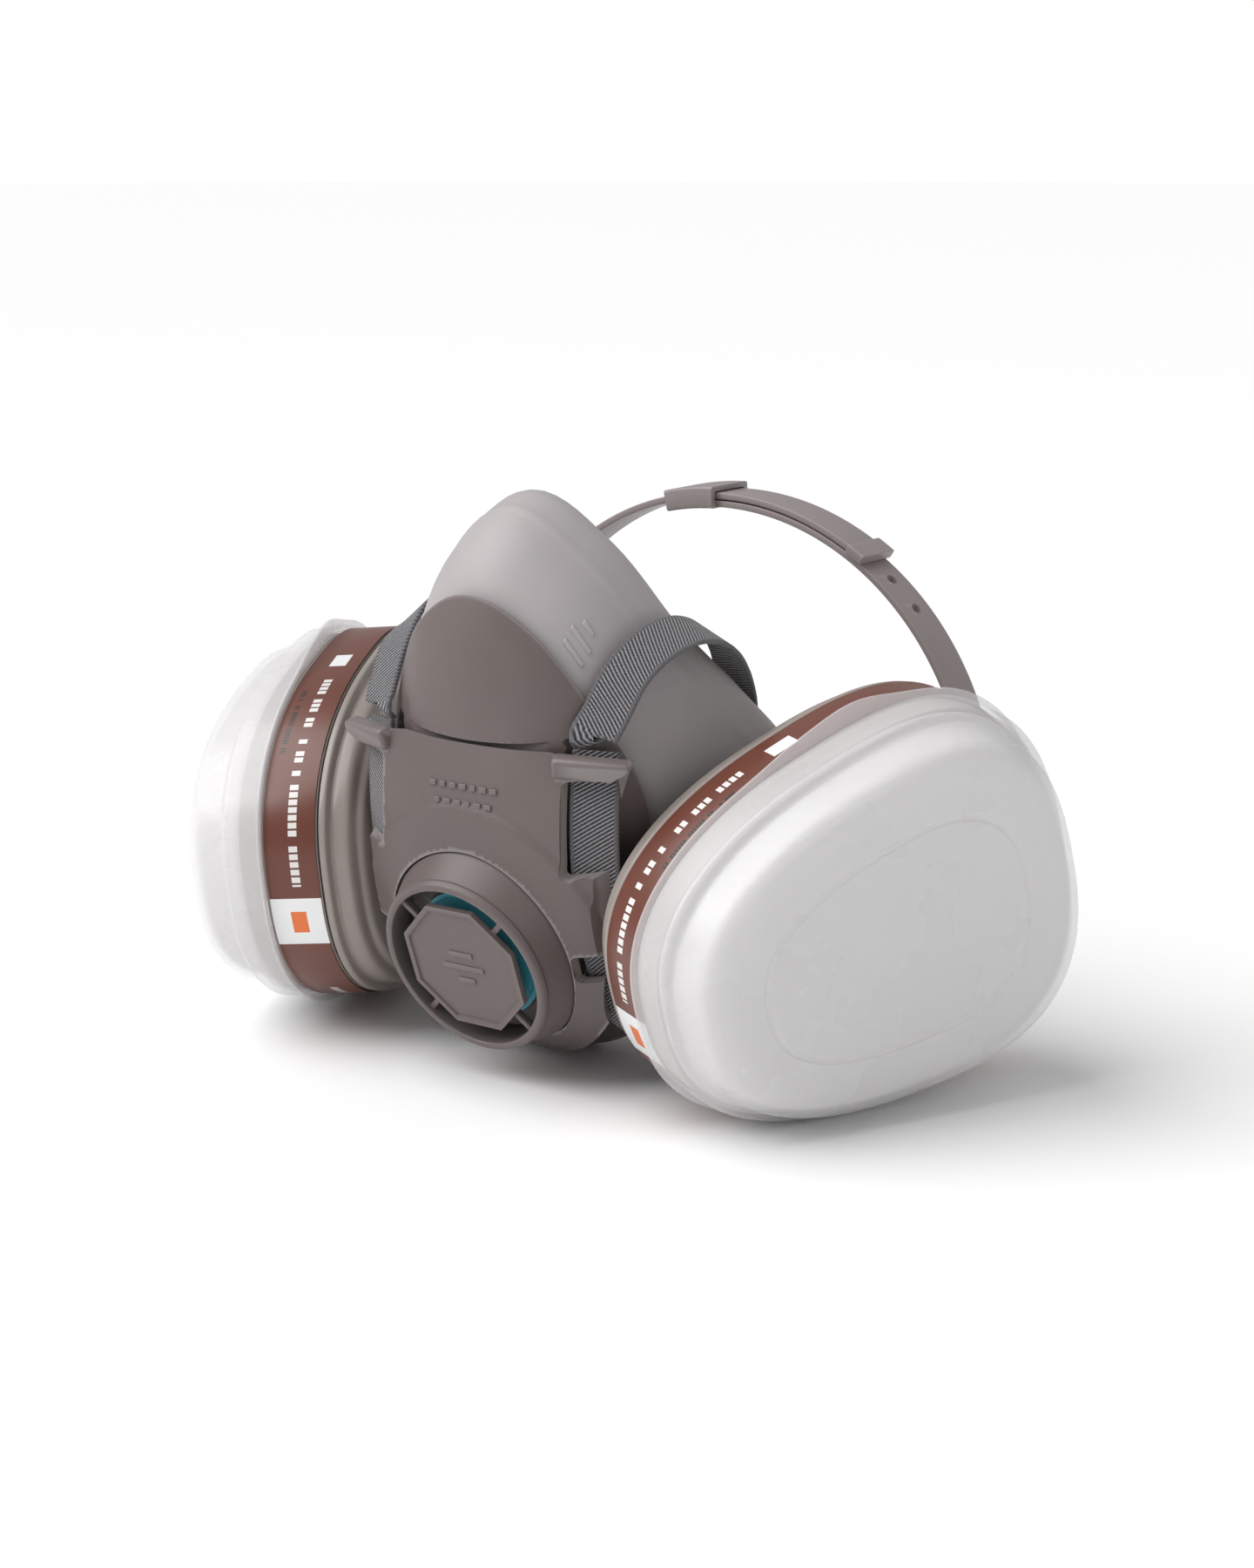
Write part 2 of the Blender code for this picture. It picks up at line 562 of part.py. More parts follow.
def make_cartridge(side_name):
    """Base with bayonet collar, case, label, screens, carbon bed, prefilter pad and snap cap."""
    side = SIDES[side_name]
    home = CARTRIDGES[side_name]

    def outline(offset, height, swell=None):
        return cartridge_ring(side, offset, height, swell=swell)

    label_out = 1.9
    case_out = label_out + 0.3 + GAP
    case_in = case_out + CASE_WALL
    lip = -LABEL_WIDTH - GAP
    notch = (LUG_REACH + 0.6, 26, -30 * side)
    hole = PORT_TUBE_RADIUS + 0.9
    base = [outline(case_in + 1.2, lip - 0.4), outline(2.6, lip - 0.4), outline(2.6, lip - 2.2),
            outline(4.4, lip - 2.9), outline(4.2, lip - 4.0), outline(4.8, lip - 7.3),
            outline(7.2, lip - 8.7), outline(8.2, lip - 9.9), outline(13.0, -BACK_DEPTH),
            round_ring(side, PORT_FLANGE_RADIUS + 1.5, -BACK_DEPTH),
            round_ring(side, PORT_FLANGE_RADIUS + 1.0, -BACK_DEPTH - 2.2),
            round_ring(side, hole, -BACK_DEPTH - 2.2, notch),
            round_ring(side, hole, -BACK_DEPTH + 1.6, notch),
            outline(15.0, -BACK_DEPTH + 1.6), outline(9.6, lip - 7.6), outline(case_in + 1.6, lip - 5.5)]
    add(f"cartridge_base_{side_name}", loft(base, closed=True), TAUPE, home)
    case_top = 6.3
    case = [outline(case_out, lip), outline(case_out, 0.4), outline(3.0, 1.2), outline(3.0, case_top),
            outline(case_in + 0.2, case_top), outline(case_in, lip)]
    add(f"cartridge_case_{side_name}", loft(case, closed=True), TAUPE, home)
    label = [outline(label_out + 0.3, lip + GAP), outline(label_out, lip + GAP), outline(label_out, -GAP),
             outline(label_out + 0.3, -GAP)]
    add(f"cartridge_label_{side_name}", loft(label, closed=True), LABEL, home)
    inside = case_in + GAP + 0.2
    add(f"inner_screen_{side_name}", loft([outline(inside, lip + 0.2), outline(inside, lip + 1.0)]), MESH, home)
    add(f"carbon_bed_{side_name}", loft([outline(inside, lip + 1.0 + GAP), outline(inside, 4.6)]), CARBON, home)
    add(f"outer_screen_{side_name}", loft([outline(inside, 4.6 + GAP), outline(inside, 5.8)]), MESH, home)
    rise = CAP_DEPTH - CAP_STEP
    pad = [outline(3.6, 6.3 + GAP), outline(3.4, CAP_STEP - 2.2), outline(6.4, CAP_STEP - 0.9),
           outline(8.0, CAP_STEP + 0.66 * rise), outline(10.6, CAP_DEPTH - 2.7), outline(14, CAP_DEPTH - 1.8)]
    add(f"prefilter_pad_{side_name}", loft(pad), FLEECE, home)
    shape = [(1.3, 1.2), (1.5, CAP_STEP - 0.9), (2.7, CAP_STEP), (4.4, CAP_STEP + 0.6),
             (6.1, CAP_STEP + 0.74 * rise), (8.6, CAP_DEPTH - 0.9), (12.4, CAP_DEPTH - 0.1), (20, CAP_DEPTH)]
    hollow = [(o + CAP_WALL, h - (0.0 if k < 1 else CAP_WALL)) for k, (o, h) in enumerate(shape)]
    cap = [outline(o, h) for o, h in reversed(hollow)]
    cap += [outline(1.3, 0.0, tab), outline(0.0, 0.0, tab), outline(0.0, 0.9, tab)]
    cap += [outline(o, h) for o, h in shape]
    add(f"filter_cap_{side_name}", loft(cap), FROSTED, home)


def make_port(side_name):
    """Bayonet port: flanged tube with three lugs and flap bars, with its gasket and flap."""
    side = SIDES[side_name]
    home = PORTS[side_name]
    seat = -PORT_DEPTH
    tube, bore = PORT_TUBE_RADIUS, PORT_TUBE_RADIUS - PORT_TUBE_WALL
    lug_low = -BACK_DEPTH + 1.6 + GAP
    lug = (LUG_REACH, 19, 0)

    def ring(radius, height, lugs=None):
        return round_ring(side, radius, height, lugs)

    port = [ring(bore, lug_low + 1.8), ring(tube, lug_low + 1.8, lug), ring(tube, lug_low, lug),
            ring(tube, lug_low - 0.2), ring(tube, seat + 1.9), ring(PORT_FLANGE_RADIUS, seat + 1.9),
            ring(PORT_FLANGE_RADIUS, seat), ring(tube, seat), ring(tube, seat - 3.3 - 0.5),
            ring(bore, seat - 3.3 - 0.5)]
    body = add(f"bayonet_port_{side_name}", loft(port, closed=True), DARK, home)
    for k in range(3):
        bar = box(f"port_bar_{side_name}_{k}", (2 * bore + 1.0, 1.6, 1.6), (0, 0, seat - 0.6), None, home,
                  (0, 0, 60 * k + 30), CUTTERS)
        boolean(body, bar, "UNION")
    stem = turned(f"port_stem_{side_name}", [(0, seat), (1.3, seat), (1.3, seat - 3.4), (0, seat - 3.4)],
                  None, home, CUTTERS, 12)
    boolean(body, stem, "UNION")
    turned(f"port_gasket_{side_name}",
           [(PORT_FLANGE_RADIUS - 0.4, seat + 3.9), (PORT_FLANGE_RADIUS - 0.4, seat + 1.9 + GAP),
            (tube + GAP, seat + 1.9 + GAP), (tube + GAP, seat + 3.9)],
           RUBBER, home)
    turned(f"inhale_flap_{side_name}",
           [(bore - GAP, seat - 1.4 - GAP), (bore - GAP, seat - 1.4 - GAP - 0.7),
            (1.3 + GAP, seat - 1.4 - GAP - 0.7), (1.3 + GAP, seat - 1.4 - GAP)],
           SILICONE, home)
    turned(f"port_nut_{side_name}",
           [(PORT_FLANGE_RADIUS - 0.5, seat - 3.3 - 2 * GAP), (PORT_FLANGE_RADIUS - 0.5, seat - 5.6),
            (tube + GAP, seat - 5.6), (tube + GAP, seat - 3.3 - 2 * GAP)],
           DARK, home)


# ---- straps --------------------------------------------------------------------------------
def spline(points, count):
    """Evenly spread (position, place in points) along a smooth curve through points."""
    pts = [Vector(p) for p in points]
    ends = [2 * pts[0] - pts[1]] + pts + [2 * pts[-1] - pts[-2]]
    fine = []
    for i in range(len(pts) - 1):
        a, b, c, d = ends[i:i + 4]
        for k in range(24):
            t = k / 24
            fine.append(0.5 * (2 * b + (c - a) * t + (2 * a - 5 * b + 4 * c - d) * t**2
                               + (3 * b - a - 3 * c + d) * t**3))
    fine.append(pts[-1])
    steps = [0.0]
    for a, b in zip(fine, fine[1:]):
        steps.append(steps[-1] + (b - a).length)
    out = []
    for k in range(count):
        want = steps[-1] * k / (count - 1)
        i = min(max(int(np.searchsorted(steps, want)) - 1, 0), len(fine) - 2)
        share = (want - steps[i]) / max(steps[i + 1] - steps[i], 1e-9)
        out.append((fine[i].lerp(fine[i + 1], share), (i + share) / 24))
    return out


def ribbon(name, side, route, widths, count, parent=ORIGIN, width=STRAP_WIDTH):
    """Flat strap through a route; widths are directions across it at the route's points."""
    stops = spline(route, count)
    rings = []
    for i, (centre, place) in enumerate(stops):
        ahead = stops[min(i + 1, count - 1)][0] - stops[max(i - 1, 0)][0]
        ahead.normalize()
        low = min(int(place), len(widths) - 2)
        wide = Vector(widths[low]).lerp(Vector(widths[low + 1]), place - low)
        wide = (wide - ahead * wide.dot(ahead)).normalized()
        thick = ahead.cross(wide)
        ring = []
        for a, b in ((-1, -1), (1, -1), (1, 1), (-1, 1)):
            p = centre + wide * (0.5 * a * width) + thick * (0.5 * b * STRAP_THICK)
            ring.append((side * p.x, p.y, p.z))
        rings.append(ring)
    return add(name, loft(rings), WEBBING, parent)


def to_world(x, y, z):
    """Mask-frame point in the object's own frame."""
    return MASK_MATRIX @ Vector((x, y, z))


STRAP_LINE = 0.5 * (SLOT_INNER + SLOT_OUTER)
BEHIND = YOKE_WALL + 2.5       # strap middle behind the yoke's front face


def channel(z, extra=0.0):
    """Strap middle in the passage behind the yoke."""
    return to_world(STRAP_LINE, yoke_depth(STRAP_LINE, z) + BEHIND + extra, z)


CHANNEL_ACROSS = MASK_MATRIX.to_3x3() @ Vector((0.9, 0.44, 0))
SLIDE_PLACE = (37.5, 78.0, GROUND + 1.9)
HOOK_END = (12.5, 112.0, GROUND + 1.9)
SPLIT = 77.3                   # height at which upper and lower straps part, behind the strap bar


def make_straps(side_name):
    """Upper strap to the head cradle, lower strap behind the yoke and back to the neck clip."""
    side = SIDES[side_name]
    end = math.radians(CRADLE_END + 3)
    cradle_end = (CRADLE_CENTRE[0] + (CRADLE_RADIUS - 3.2) * math.cos(end), CRADLE_CENTRE[1],
                  CRADLE_CENTRE[2] + (CRADLE_RADIUS - 3.2) * math.sin(end))
    lean = STRAP_LEAN[side]
    arch = NOSE_REACH + ARCH_RISE
    upper = [channel(SPLIT + 2.3, -0.8), channel(81.2, -2.0), (33.4 - 0.2 * lean, -3.0, 89),
             (35.2 - 0.5 * lean, 2.5, arch - 7.9), (37.0 - lean, 10, arch - 2.4), (38.4 - lean, 19, arch),
             (38.8 - lean, 27, arch - 1.0), (38.0 - lean, 34.5, arch - 4.4), (36.4 - lean, 41.5, arch - 10.4),
             (34.0 - 0.7 * lean, 47.5, arch - 17.9), (31.5 - 0.3 * lean, 52.5, 79.5), (31, 57, 71.5), (33, 63, 64),
             (39, 70, 58.5), (49, 80, 55.5), (60, 89.5, 56.5), cradle_end]
    across = [CHANNEL_ACROSS, CHANNEL_ACROSS, (0.95, 0.3, -0.1), (0.95, 0.2, -0.25)]
    across += [(0.9 - 0.05 * lean, 0.05, -0.42 - 0.06 * lean)] * 4 + [(0.93, 0, -0.3), (1, 0, -0.1), (1, 0, 0)]
    across += [(1, -0.1, 0), (0.85, -0.45, 0), (0.6, -0.7, 0), (0.5, -0.85, 0), (0.4, -0.9, 0), (0, -1, 0)]
    ribbon(f"upper_strap_{side_name}", side, upper, across, 32)
    flat = GROUND + 1.9
    lower = [channel(SPLIT), channel(62), channel(46), channel(28), channel(12), channel(3, 1.0),
             (33.5, 20, 2.6), (35, 32, 0.2), (36.8, 50, flat), (37.5, 64, flat), SLIDE_PLACE,
             (37.0, 90, flat), (31.0, 102, flat), (22, 109.5, flat), HOOK_END]
    across = [CHANNEL_ACROSS] * 6 + [(1, 0.1, 0)] * 4 + [(1, 0, 0)] * 2
    across += [(0.8, 0.6, 0), (0.45, 0.9, 0), (0, 1, 0)]
    ribbon(f"lower_strap_{side_name}", side, lower, across, 30)
    slide = box(f"strap_slide_{side_name}", (17.0, 9.0, 3.4),
                (side * SLIDE_PLACE[0], SLIDE_PLACE[1], SLIDE_PLACE[2]), DARK, ORIGIN)
    slot = box(f"slide_slot_{side_name}", (STRAP_WIDTH + 1.2, 20, STRAP_THICK + 0.8),
               (side * SLIDE_PLACE[0], SLIDE_PLACE[1], SLIDE_PLACE[2]), None, ORIGIN, (0, 0, 0), CUTTERS)
    boolean(slide, slot)


# ---- head cradle ---------------------------------------------------------------------------
def arc_block(inner, outer, width, start, end, count):
    """Curved bar about the cradle's axis."""
    rings = []
    for k in range(count + 1):
        angle = math.radians(start + (end - start) * k / count)
        c, s = math.cos(angle), math.sin(angle)
        ring = [(r * c, w, r * s) for r, w in ((inner, -width / 2), (outer, -width / 2),
                                               (outer, width / 2), (inner, width / 2))]
        rings.append(ring)
    return loft(rings)


def make_cradle():
    """Two crown bands; the right one slides through the left one's sleeve."""
    centre = frame("cradle_frame", Matrix.Translation(Vector(CRADLE_CENTRE) * MM), ORIGIN)
    inner, outer = CRADLE_RADIUS, CRADLE_RADIUS + BAND_THICK
    over_in, over_out = outer + GAP, outer + GAP + BAND_THICK
    left = add("cradle_band_left",
               arc_block(inner, outer, CRADLE_WIDTH, CRADLE_END, SLEEVE_ANGLE + SLEEVE_SPAN - 1, 22),
               CRADLE, centre)
    sleeve = add("sleeve_block", arc_block(inner - 0.2, over_out + 1.6, CRADLE_WIDTH + 4.2, SLEEVE_ANGLE,
                                           SLEEVE_ANGLE + SLEEVE_SPAN, 4), None, centre, CUTTERS)
    boolean(left, sleeve, "UNION")
    passage = add("sleeve_passage", arc_block(over_in - GAP + 0.05, over_out + GAP, CRADLE_WIDTH + 0.9,
                                              SLEEVE_ANGLE - 3, SLEEVE_ANGLE + SLEEVE_SPAN + 3, 6),
                  None, centre, CUTTERS)
    boolean(left, passage)
    right = add("cradle_band_right",
                arc_block(over_in, over_out, CRADLE_WIDTH, TIP_ANGLE, 180 - CRADLE_END, 24), CRADLE, centre)
    for band, start, step in ((left, 44, 7.5), (right, 132, 7.5)):
        for k in range(3):
            hole = bmesh.new()
            spin = Matrix.Rotation(math.radians(90 - start - step * k), 4, "Y")
            bmesh.ops.create_cone(hole, segments=8, cap_ends=True, radius1=1.5 * MM, radius2=1.5 * MM,
                                  depth=12 * MM,
                                  matrix=spin @ Matrix.Translation((0, 0, (CRADLE_RADIUS + 1.5) * MM)))
            boolean(band, add(f"{band.name}_hole_{k}", hole, None, centre, CUTTERS))
    for band, angle, radius in ((left, CRADLE_END + 3, 0.5 * (inner + outer)),
                                (right, 180 - CRADLE_END - 3, 0.5 * (over_in + over_out))):
        foot = add(f"{band.name}_foot",
                   arc_block(radius - 1.2, radius + 1.2, CRADLE_WIDTH + 5, angle - 3.5, angle + 3.5, 3),
                   None, centre, CUTTERS)
        boolean(band, foot, "UNION")


def make_neck_clip():
    """Hook on the left strap and loop on the right strap, closed behind the neck."""
    level = GROUND + 1.9
    body_y = HOOK_END[1]
    loop = box("neck_loop", (11.0, 16.0, 3.4), (-5.9, body_y, level), DARK, ORIGIN)
    window = box("loop_window", (5.0, 11.4, 10), (-4.6, body_y, level), None, ORIGIN, (0, 0, 0), CUTTERS)
    boolean(loop, window)
    hook = box("neck_hook", (11.0, 16.0, 3.4), (5.9, body_y, level), DARK, ORIGIN)
    slot = box("hook_window", (2.6, 11.8, 10), (8.2, body_y, level), None, ORIGIN, (0, 0, 0), CUTTERS)
    boolean(hook, slot)
    notch = box("loop_notch", (4.0, 8.8, 3.3), (-1.2, body_y, level + 1.15), None, ORIGIN, (0, 0, 0), CUTTERS)
    boolean(loop, notch)
    tongue = box("hook_tongue", (5.0, 8.0, 1.6), (-1.2, body_y, level + 0.6), None, ORIGIN, (0, 0, 0), CUTTERS)
    boolean(hook, tongue, "UNION")


def rest_on_origin():
    """Move the whole object so that it rests on z = 0 with its box centred over the origin."""
    bpy.context.view_layer.update()
    graph = bpy.context.evaluated_depsgraph_get()
    points = []
    for obj in PARTS.objects:
        if obj.type == "MESH":
            mesh = obj.evaluated_get(graph).to_mesh()
            points += [obj.matrix_world @ vert.co for vert in mesh.vertices]
    low = Vector(min(p[k] for p in points) for k in range(3))
    high = Vector(max(p[k] for p in points) for k in range(3))
    ORIGIN.location = (-0.5 * (low.x + high.x), -0.5 * (low.y + high.y), -low.z)
    bpy.context.view_layer.update()


make_face_seal()
make_front_shell()
make_yoke()
make_exhale_valve()
for name in SIDES:
    make_port(name)
    make_cartridge(name)
    make_straps(name)
make_cradle()
make_neck_clip()
rest_on_origin()
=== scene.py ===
"""Looks of a half-mask respirator: facepiece, yoke, valve, cartridges, straps and head cradle.

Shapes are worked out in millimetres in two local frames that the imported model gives, and are put
in place once each mesh is whole:
  * the mask frame: x to the wearer's left, y to the face, z up the leaning mask;
  * a cartridge frame on each side: x to the wide end, z out along the bayonet, z = 0 at the cap's rim.
"""

import json
import logging
import math
from dataclasses import dataclass, field
from enum import Enum
from typing import Callable, Optional, Sequence

import bmesh
import bpy
from mathutils import Matrix, Vector

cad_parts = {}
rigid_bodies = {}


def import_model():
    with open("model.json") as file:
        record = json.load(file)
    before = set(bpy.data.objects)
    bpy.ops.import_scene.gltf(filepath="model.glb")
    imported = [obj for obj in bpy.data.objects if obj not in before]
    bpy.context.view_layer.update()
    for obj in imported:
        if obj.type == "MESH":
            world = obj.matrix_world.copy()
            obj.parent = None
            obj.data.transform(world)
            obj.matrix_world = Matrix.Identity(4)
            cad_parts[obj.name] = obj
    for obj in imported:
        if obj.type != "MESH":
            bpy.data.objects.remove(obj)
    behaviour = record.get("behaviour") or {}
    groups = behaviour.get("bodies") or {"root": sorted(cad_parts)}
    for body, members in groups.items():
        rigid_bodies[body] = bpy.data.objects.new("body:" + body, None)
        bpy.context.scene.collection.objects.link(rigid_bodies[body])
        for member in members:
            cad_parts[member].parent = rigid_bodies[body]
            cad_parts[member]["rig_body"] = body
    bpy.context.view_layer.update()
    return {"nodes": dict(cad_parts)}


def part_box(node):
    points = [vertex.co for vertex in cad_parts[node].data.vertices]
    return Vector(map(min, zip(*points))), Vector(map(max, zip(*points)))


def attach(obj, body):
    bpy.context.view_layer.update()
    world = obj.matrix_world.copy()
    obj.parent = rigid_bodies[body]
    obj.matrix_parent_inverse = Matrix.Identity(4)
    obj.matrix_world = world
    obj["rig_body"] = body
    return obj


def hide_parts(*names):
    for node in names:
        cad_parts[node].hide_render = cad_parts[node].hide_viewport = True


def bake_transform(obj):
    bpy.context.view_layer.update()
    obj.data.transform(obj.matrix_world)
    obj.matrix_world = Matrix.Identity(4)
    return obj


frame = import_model()

MM = 0.001
LOG = logging.getLogger("respirator")
Place = Callable[[float, float], Sequence[float]]


class Side(Enum):
    """The wearer's sides; the value is the sign of x."""

    LEFT = 1
    RIGHT = -1

    @property
    def word(self) -> str:
        """The side's name as the CAD nodes and bodies use it."""
        return self.name.lower()


# ---- node groups and finishes --------------------------------------------------------------
def put(tree: bpy.types.NodeTree, kind: str, settings: Optional[dict] = None,
        inputs: Optional[dict] = None) -> bpy.types.Node:
    """Add a shader node.

    Args:
        tree: The tree that gets the node.
        kind: The node's type without its ShaderNode prefix.
        settings: Attributes of the node, such as its operation.
        inputs: Input name or number to a value or to the socket that feeds it.

    Returns:
        The new node.
    """
    node = tree.nodes.new("ShaderNode" + kind)
    for key, value in (settings or {}).items():
        setattr(node, key, value)
    for key, value in (inputs or {}).items():
        if isinstance(value, bpy.types.NodeSocket):
            tree.links.new(value, node.inputs[key])
        else:
            node.inputs[key].default_value = value
    return node


def maths(tree: bpy.types.NodeTree, operation: str, *values: object) -> bpy.types.NodeSocket:
    """A Math node's output.

    Args:
        tree: The tree that gets the node.
        operation: The Math node's operation.
        values: Numbers or sockets, in the node's order.

    Returns:
        The node's output socket.
    """
    return put(tree, "Math", {"operation": operation}, dict(enumerate(values))).outputs[0]


def ramp(tree: bpy.types.NodeTree, value: object, low: float, high: float,
         low_out: float = 0.0, high_out: float = 1.0) -> bpy.types.NodeSocket:
    """A smooth step from low to high.

    Args:
        tree: The tree that gets the node.
        value: The socket that is read.
        low: Value at which the step starts.
        high: Value at which the step ends.
        low_out: What the step starts from.
        high_out: What the step reaches.

    Returns:
        The result's socket.
    """
    node = put(tree, "MapRange", {"interpolation_type": "SMOOTHSTEP"}, {0: value})
    for key, number in ((1, low), (2, high), (3, low_out), (4, high_out)):
        node.inputs[key].default_value = number
    return node.outputs[0]


def mixed(tree: bpy.types.NodeTree, factor: object, a: object, b: object) -> bpy.types.NodeSocket:
    """A colour between a and b.

    Args:
        tree: The tree that gets the node.
        factor: Share of b, a number or a socket.
        a: First colour or socket.
        b: Second colour or socket.

    Returns:
        The mixed colour's socket.
    """
    node = put(tree, "Mix", {"data_type": "RGBA"}, {0: factor, 6: a, 7: b})
    return node.outputs[2]


def new_group(name: str, inputs: Sequence[tuple], outputs: Sequence[tuple]) -> bpy.types.NodeTree:
    """An empty shader node group.

    Args:
        name: The group's name.
        inputs: (name, socket type) of each input.
        outputs: (name, socket type) of each output.

    Returns:
        The group, with its input and output nodes named "in" and "out".
    """
    group = bpy.data.node_groups.new(name, "ShaderNodeTree")
    for label, kind in inputs:
        group.interface.new_socket(label, in_out="INPUT", socket_type="NodeSocket" + kind)
    for label, kind in outputs:
        group.interface.new_socket(label, in_out="OUTPUT", socket_type="NodeSocket" + kind)
    group.nodes.new("NodeGroupInput").name = "in"
    group.nodes.new("NodeGroupOutput").name = "out"
    return group


class Patterns:
    """Node groups that several finishes share."""

    def __init__(self) -> None:
        """Build each group once."""
        self.moulding = self._moulding()
        self.weave = self._weave()
        self.dots = self._dots()
        self.print = self._print()

    @staticmethod
    def _moulding() -> bpy.types.NodeTree:
        """Fine moulded grain with slow changes of tone, and a painted highlight on sharp edges.

        Returns:
            The node group.
        """
        group = new_group("moulded_surface", [("Vector", "Vector"), ("Grain", "Float"), ("Mottle", "Float")],
                          [("Height", "Float"), ("Tone", "Float"), ("Edge", "Float")])
        source, sink = group.nodes["in"], group.nodes["out"]
        fine = put(group, "TexNoise", None, {"Vector": source.outputs["Vector"],
                                            "Scale": source.outputs["Grain"], "Detail": 4.0})
        slow = put(group, "TexNoise", None, {"Vector": source.outputs["Vector"],
                                            "Scale": source.outputs["Mottle"], "Detail": 3.0})
        point = put(group, "NewGeometry").outputs["Pointiness"]
        group.links.new(fine.outputs["Fac"], sink.inputs["Height"])
        group.links.new(slow.outputs["Fac"], sink.inputs["Tone"])
        # Painted highlight: sharp convex edges, found from pointiness, make the edge highlight mask.
        group.links.new(ramp(group, point, 0.52, 0.62), sink.inputs["Edge"])
        return group

    @staticmethod
    def _weave() -> bpy.types.NodeTree:
        """Twill webbing on a UV map in millimetres: slanted light and dark ribs with plain selvedges.

        Returns:
            The node group.
        """
        group = new_group("twill_webbing", [("Vector", "Vector"), ("Half Width", "Float")],
                          [("Height", "Float"), ("Thread", "Float"), ("Selvedge", "Float")])
        source, sink = group.nodes["in"], group.nodes["out"]
        split = put(group, "SeparateXYZ", None, {0: source.outputs["Vector"]})
        along, across = split.outputs[0], split.outputs[1]
        slant = maths(group, "ADD", maths(group, "MULTIPLY", across, 0.62), along)
        rib = maths(group, "SINE", maths(group, "MULTIPLY", slant, 2 * math.pi / 0.98))
        pick = maths(group, "SINE", maths(group, "MULTIPLY", across, 2 * math.pi / 0.72))
        knot = maths(group, "MULTIPLY", rib, ramp(group, pick, -0.9, 0.4, 0.45, 1.0))
        fuzz = put(group, "TexNoise", None, {"Vector": source.outputs["Vector"], "Scale": 1.7, "Detail": 3.0})
        height = maths(group, "ADD", knot, maths(group, "MULTIPLY", fuzz.outputs["Fac"], 1.1))
        group.links.new(height, sink.inputs["Height"])
        group.links.new(ramp(group, height, 0.0, 1.35), sink.inputs["Thread"])
        rim = maths(group, "SUBTRACT", source.outputs["Half Width"], maths(group, "ABSOLUTE", across))
        group.links.new(ramp(group, rim, 0.7, 1.1, 1.0, 0.0), sink.inputs["Selvedge"])
        return group

    @staticmethod
    def _dots() -> bpy.types.NodeTree:
        """Staggered embossed dots on a UV map in millimetres.

        Returns:
            The node group.
        """
        group = new_group("embossed_dots", [("Vector", "Vector"), ("Pitch", "Float")], [("Height", "Float")])
        source, sink = group.nodes["in"], group.nodes["out"]
        split = put(group, "SeparateXYZ", None, {0: source.outputs["Vector"]})
        waves = []
        for x, y in ((1.0, 1.0), (1.0, -1.0)):
            mix = maths(group, "ADD", maths(group, "MULTIPLY", split.outputs[0], x),
                        maths(group, "MULTIPLY", split.outputs[1], y))
            turns = maths(group, "DIVIDE", mix, source.outputs["Pitch"])
            waves.append(maths(group, "SINE", maths(group, "MULTIPLY", turns, 2 * math.pi)))
        group.links.new(maths(group, "MULTIPLY", *waves), sink.inputs["Height"])
        return group

    @staticmethod
    def _print() -> bpy.types.NodeTree:
        """Rows of short printed dashes on a UV map in millimetres, as plain marks in place of words.

        Returns:
            The node group.
        """
        group = new_group("printed_dashes", [("Vector", "Vector"), ("Row", "Float"), ("Height", "Float"),
                                            ("Dash", "Float")], [("Mask", "Float")])
        source, sink = group.nodes["in"], group.nodes["out"]
        split = put(group, "SeparateXYZ", None, {0: source.outputs["Vector"]})
        cell = maths(group, "DIVIDE", split.outputs[0], source.outputs["Dash"])
        pick = put(group, "TexWhiteNoise", {"noise_dimensions": "1D"}, {"W": maths(group, "FLOOR", cell)})
        inside = maths(group, "LESS_THAN", maths(group, "FRACT", cell), 0.74)
        kept = maths(group, "GREATER_THAN", pick.outputs["Value"], 0.22)
        away = maths(group, "ABSOLUTE", maths(group, "SUBTRACT", split.outputs[1], source.outputs["Row"]))
        row = maths(group, "LESS_THAN", away, source.outputs["Height"])
        mask = maths(group, "MULTIPLY", maths(group, "MULTIPLY", inside, kept), row)
        group.links.new(mask, sink.inputs["Mask"])
        return group


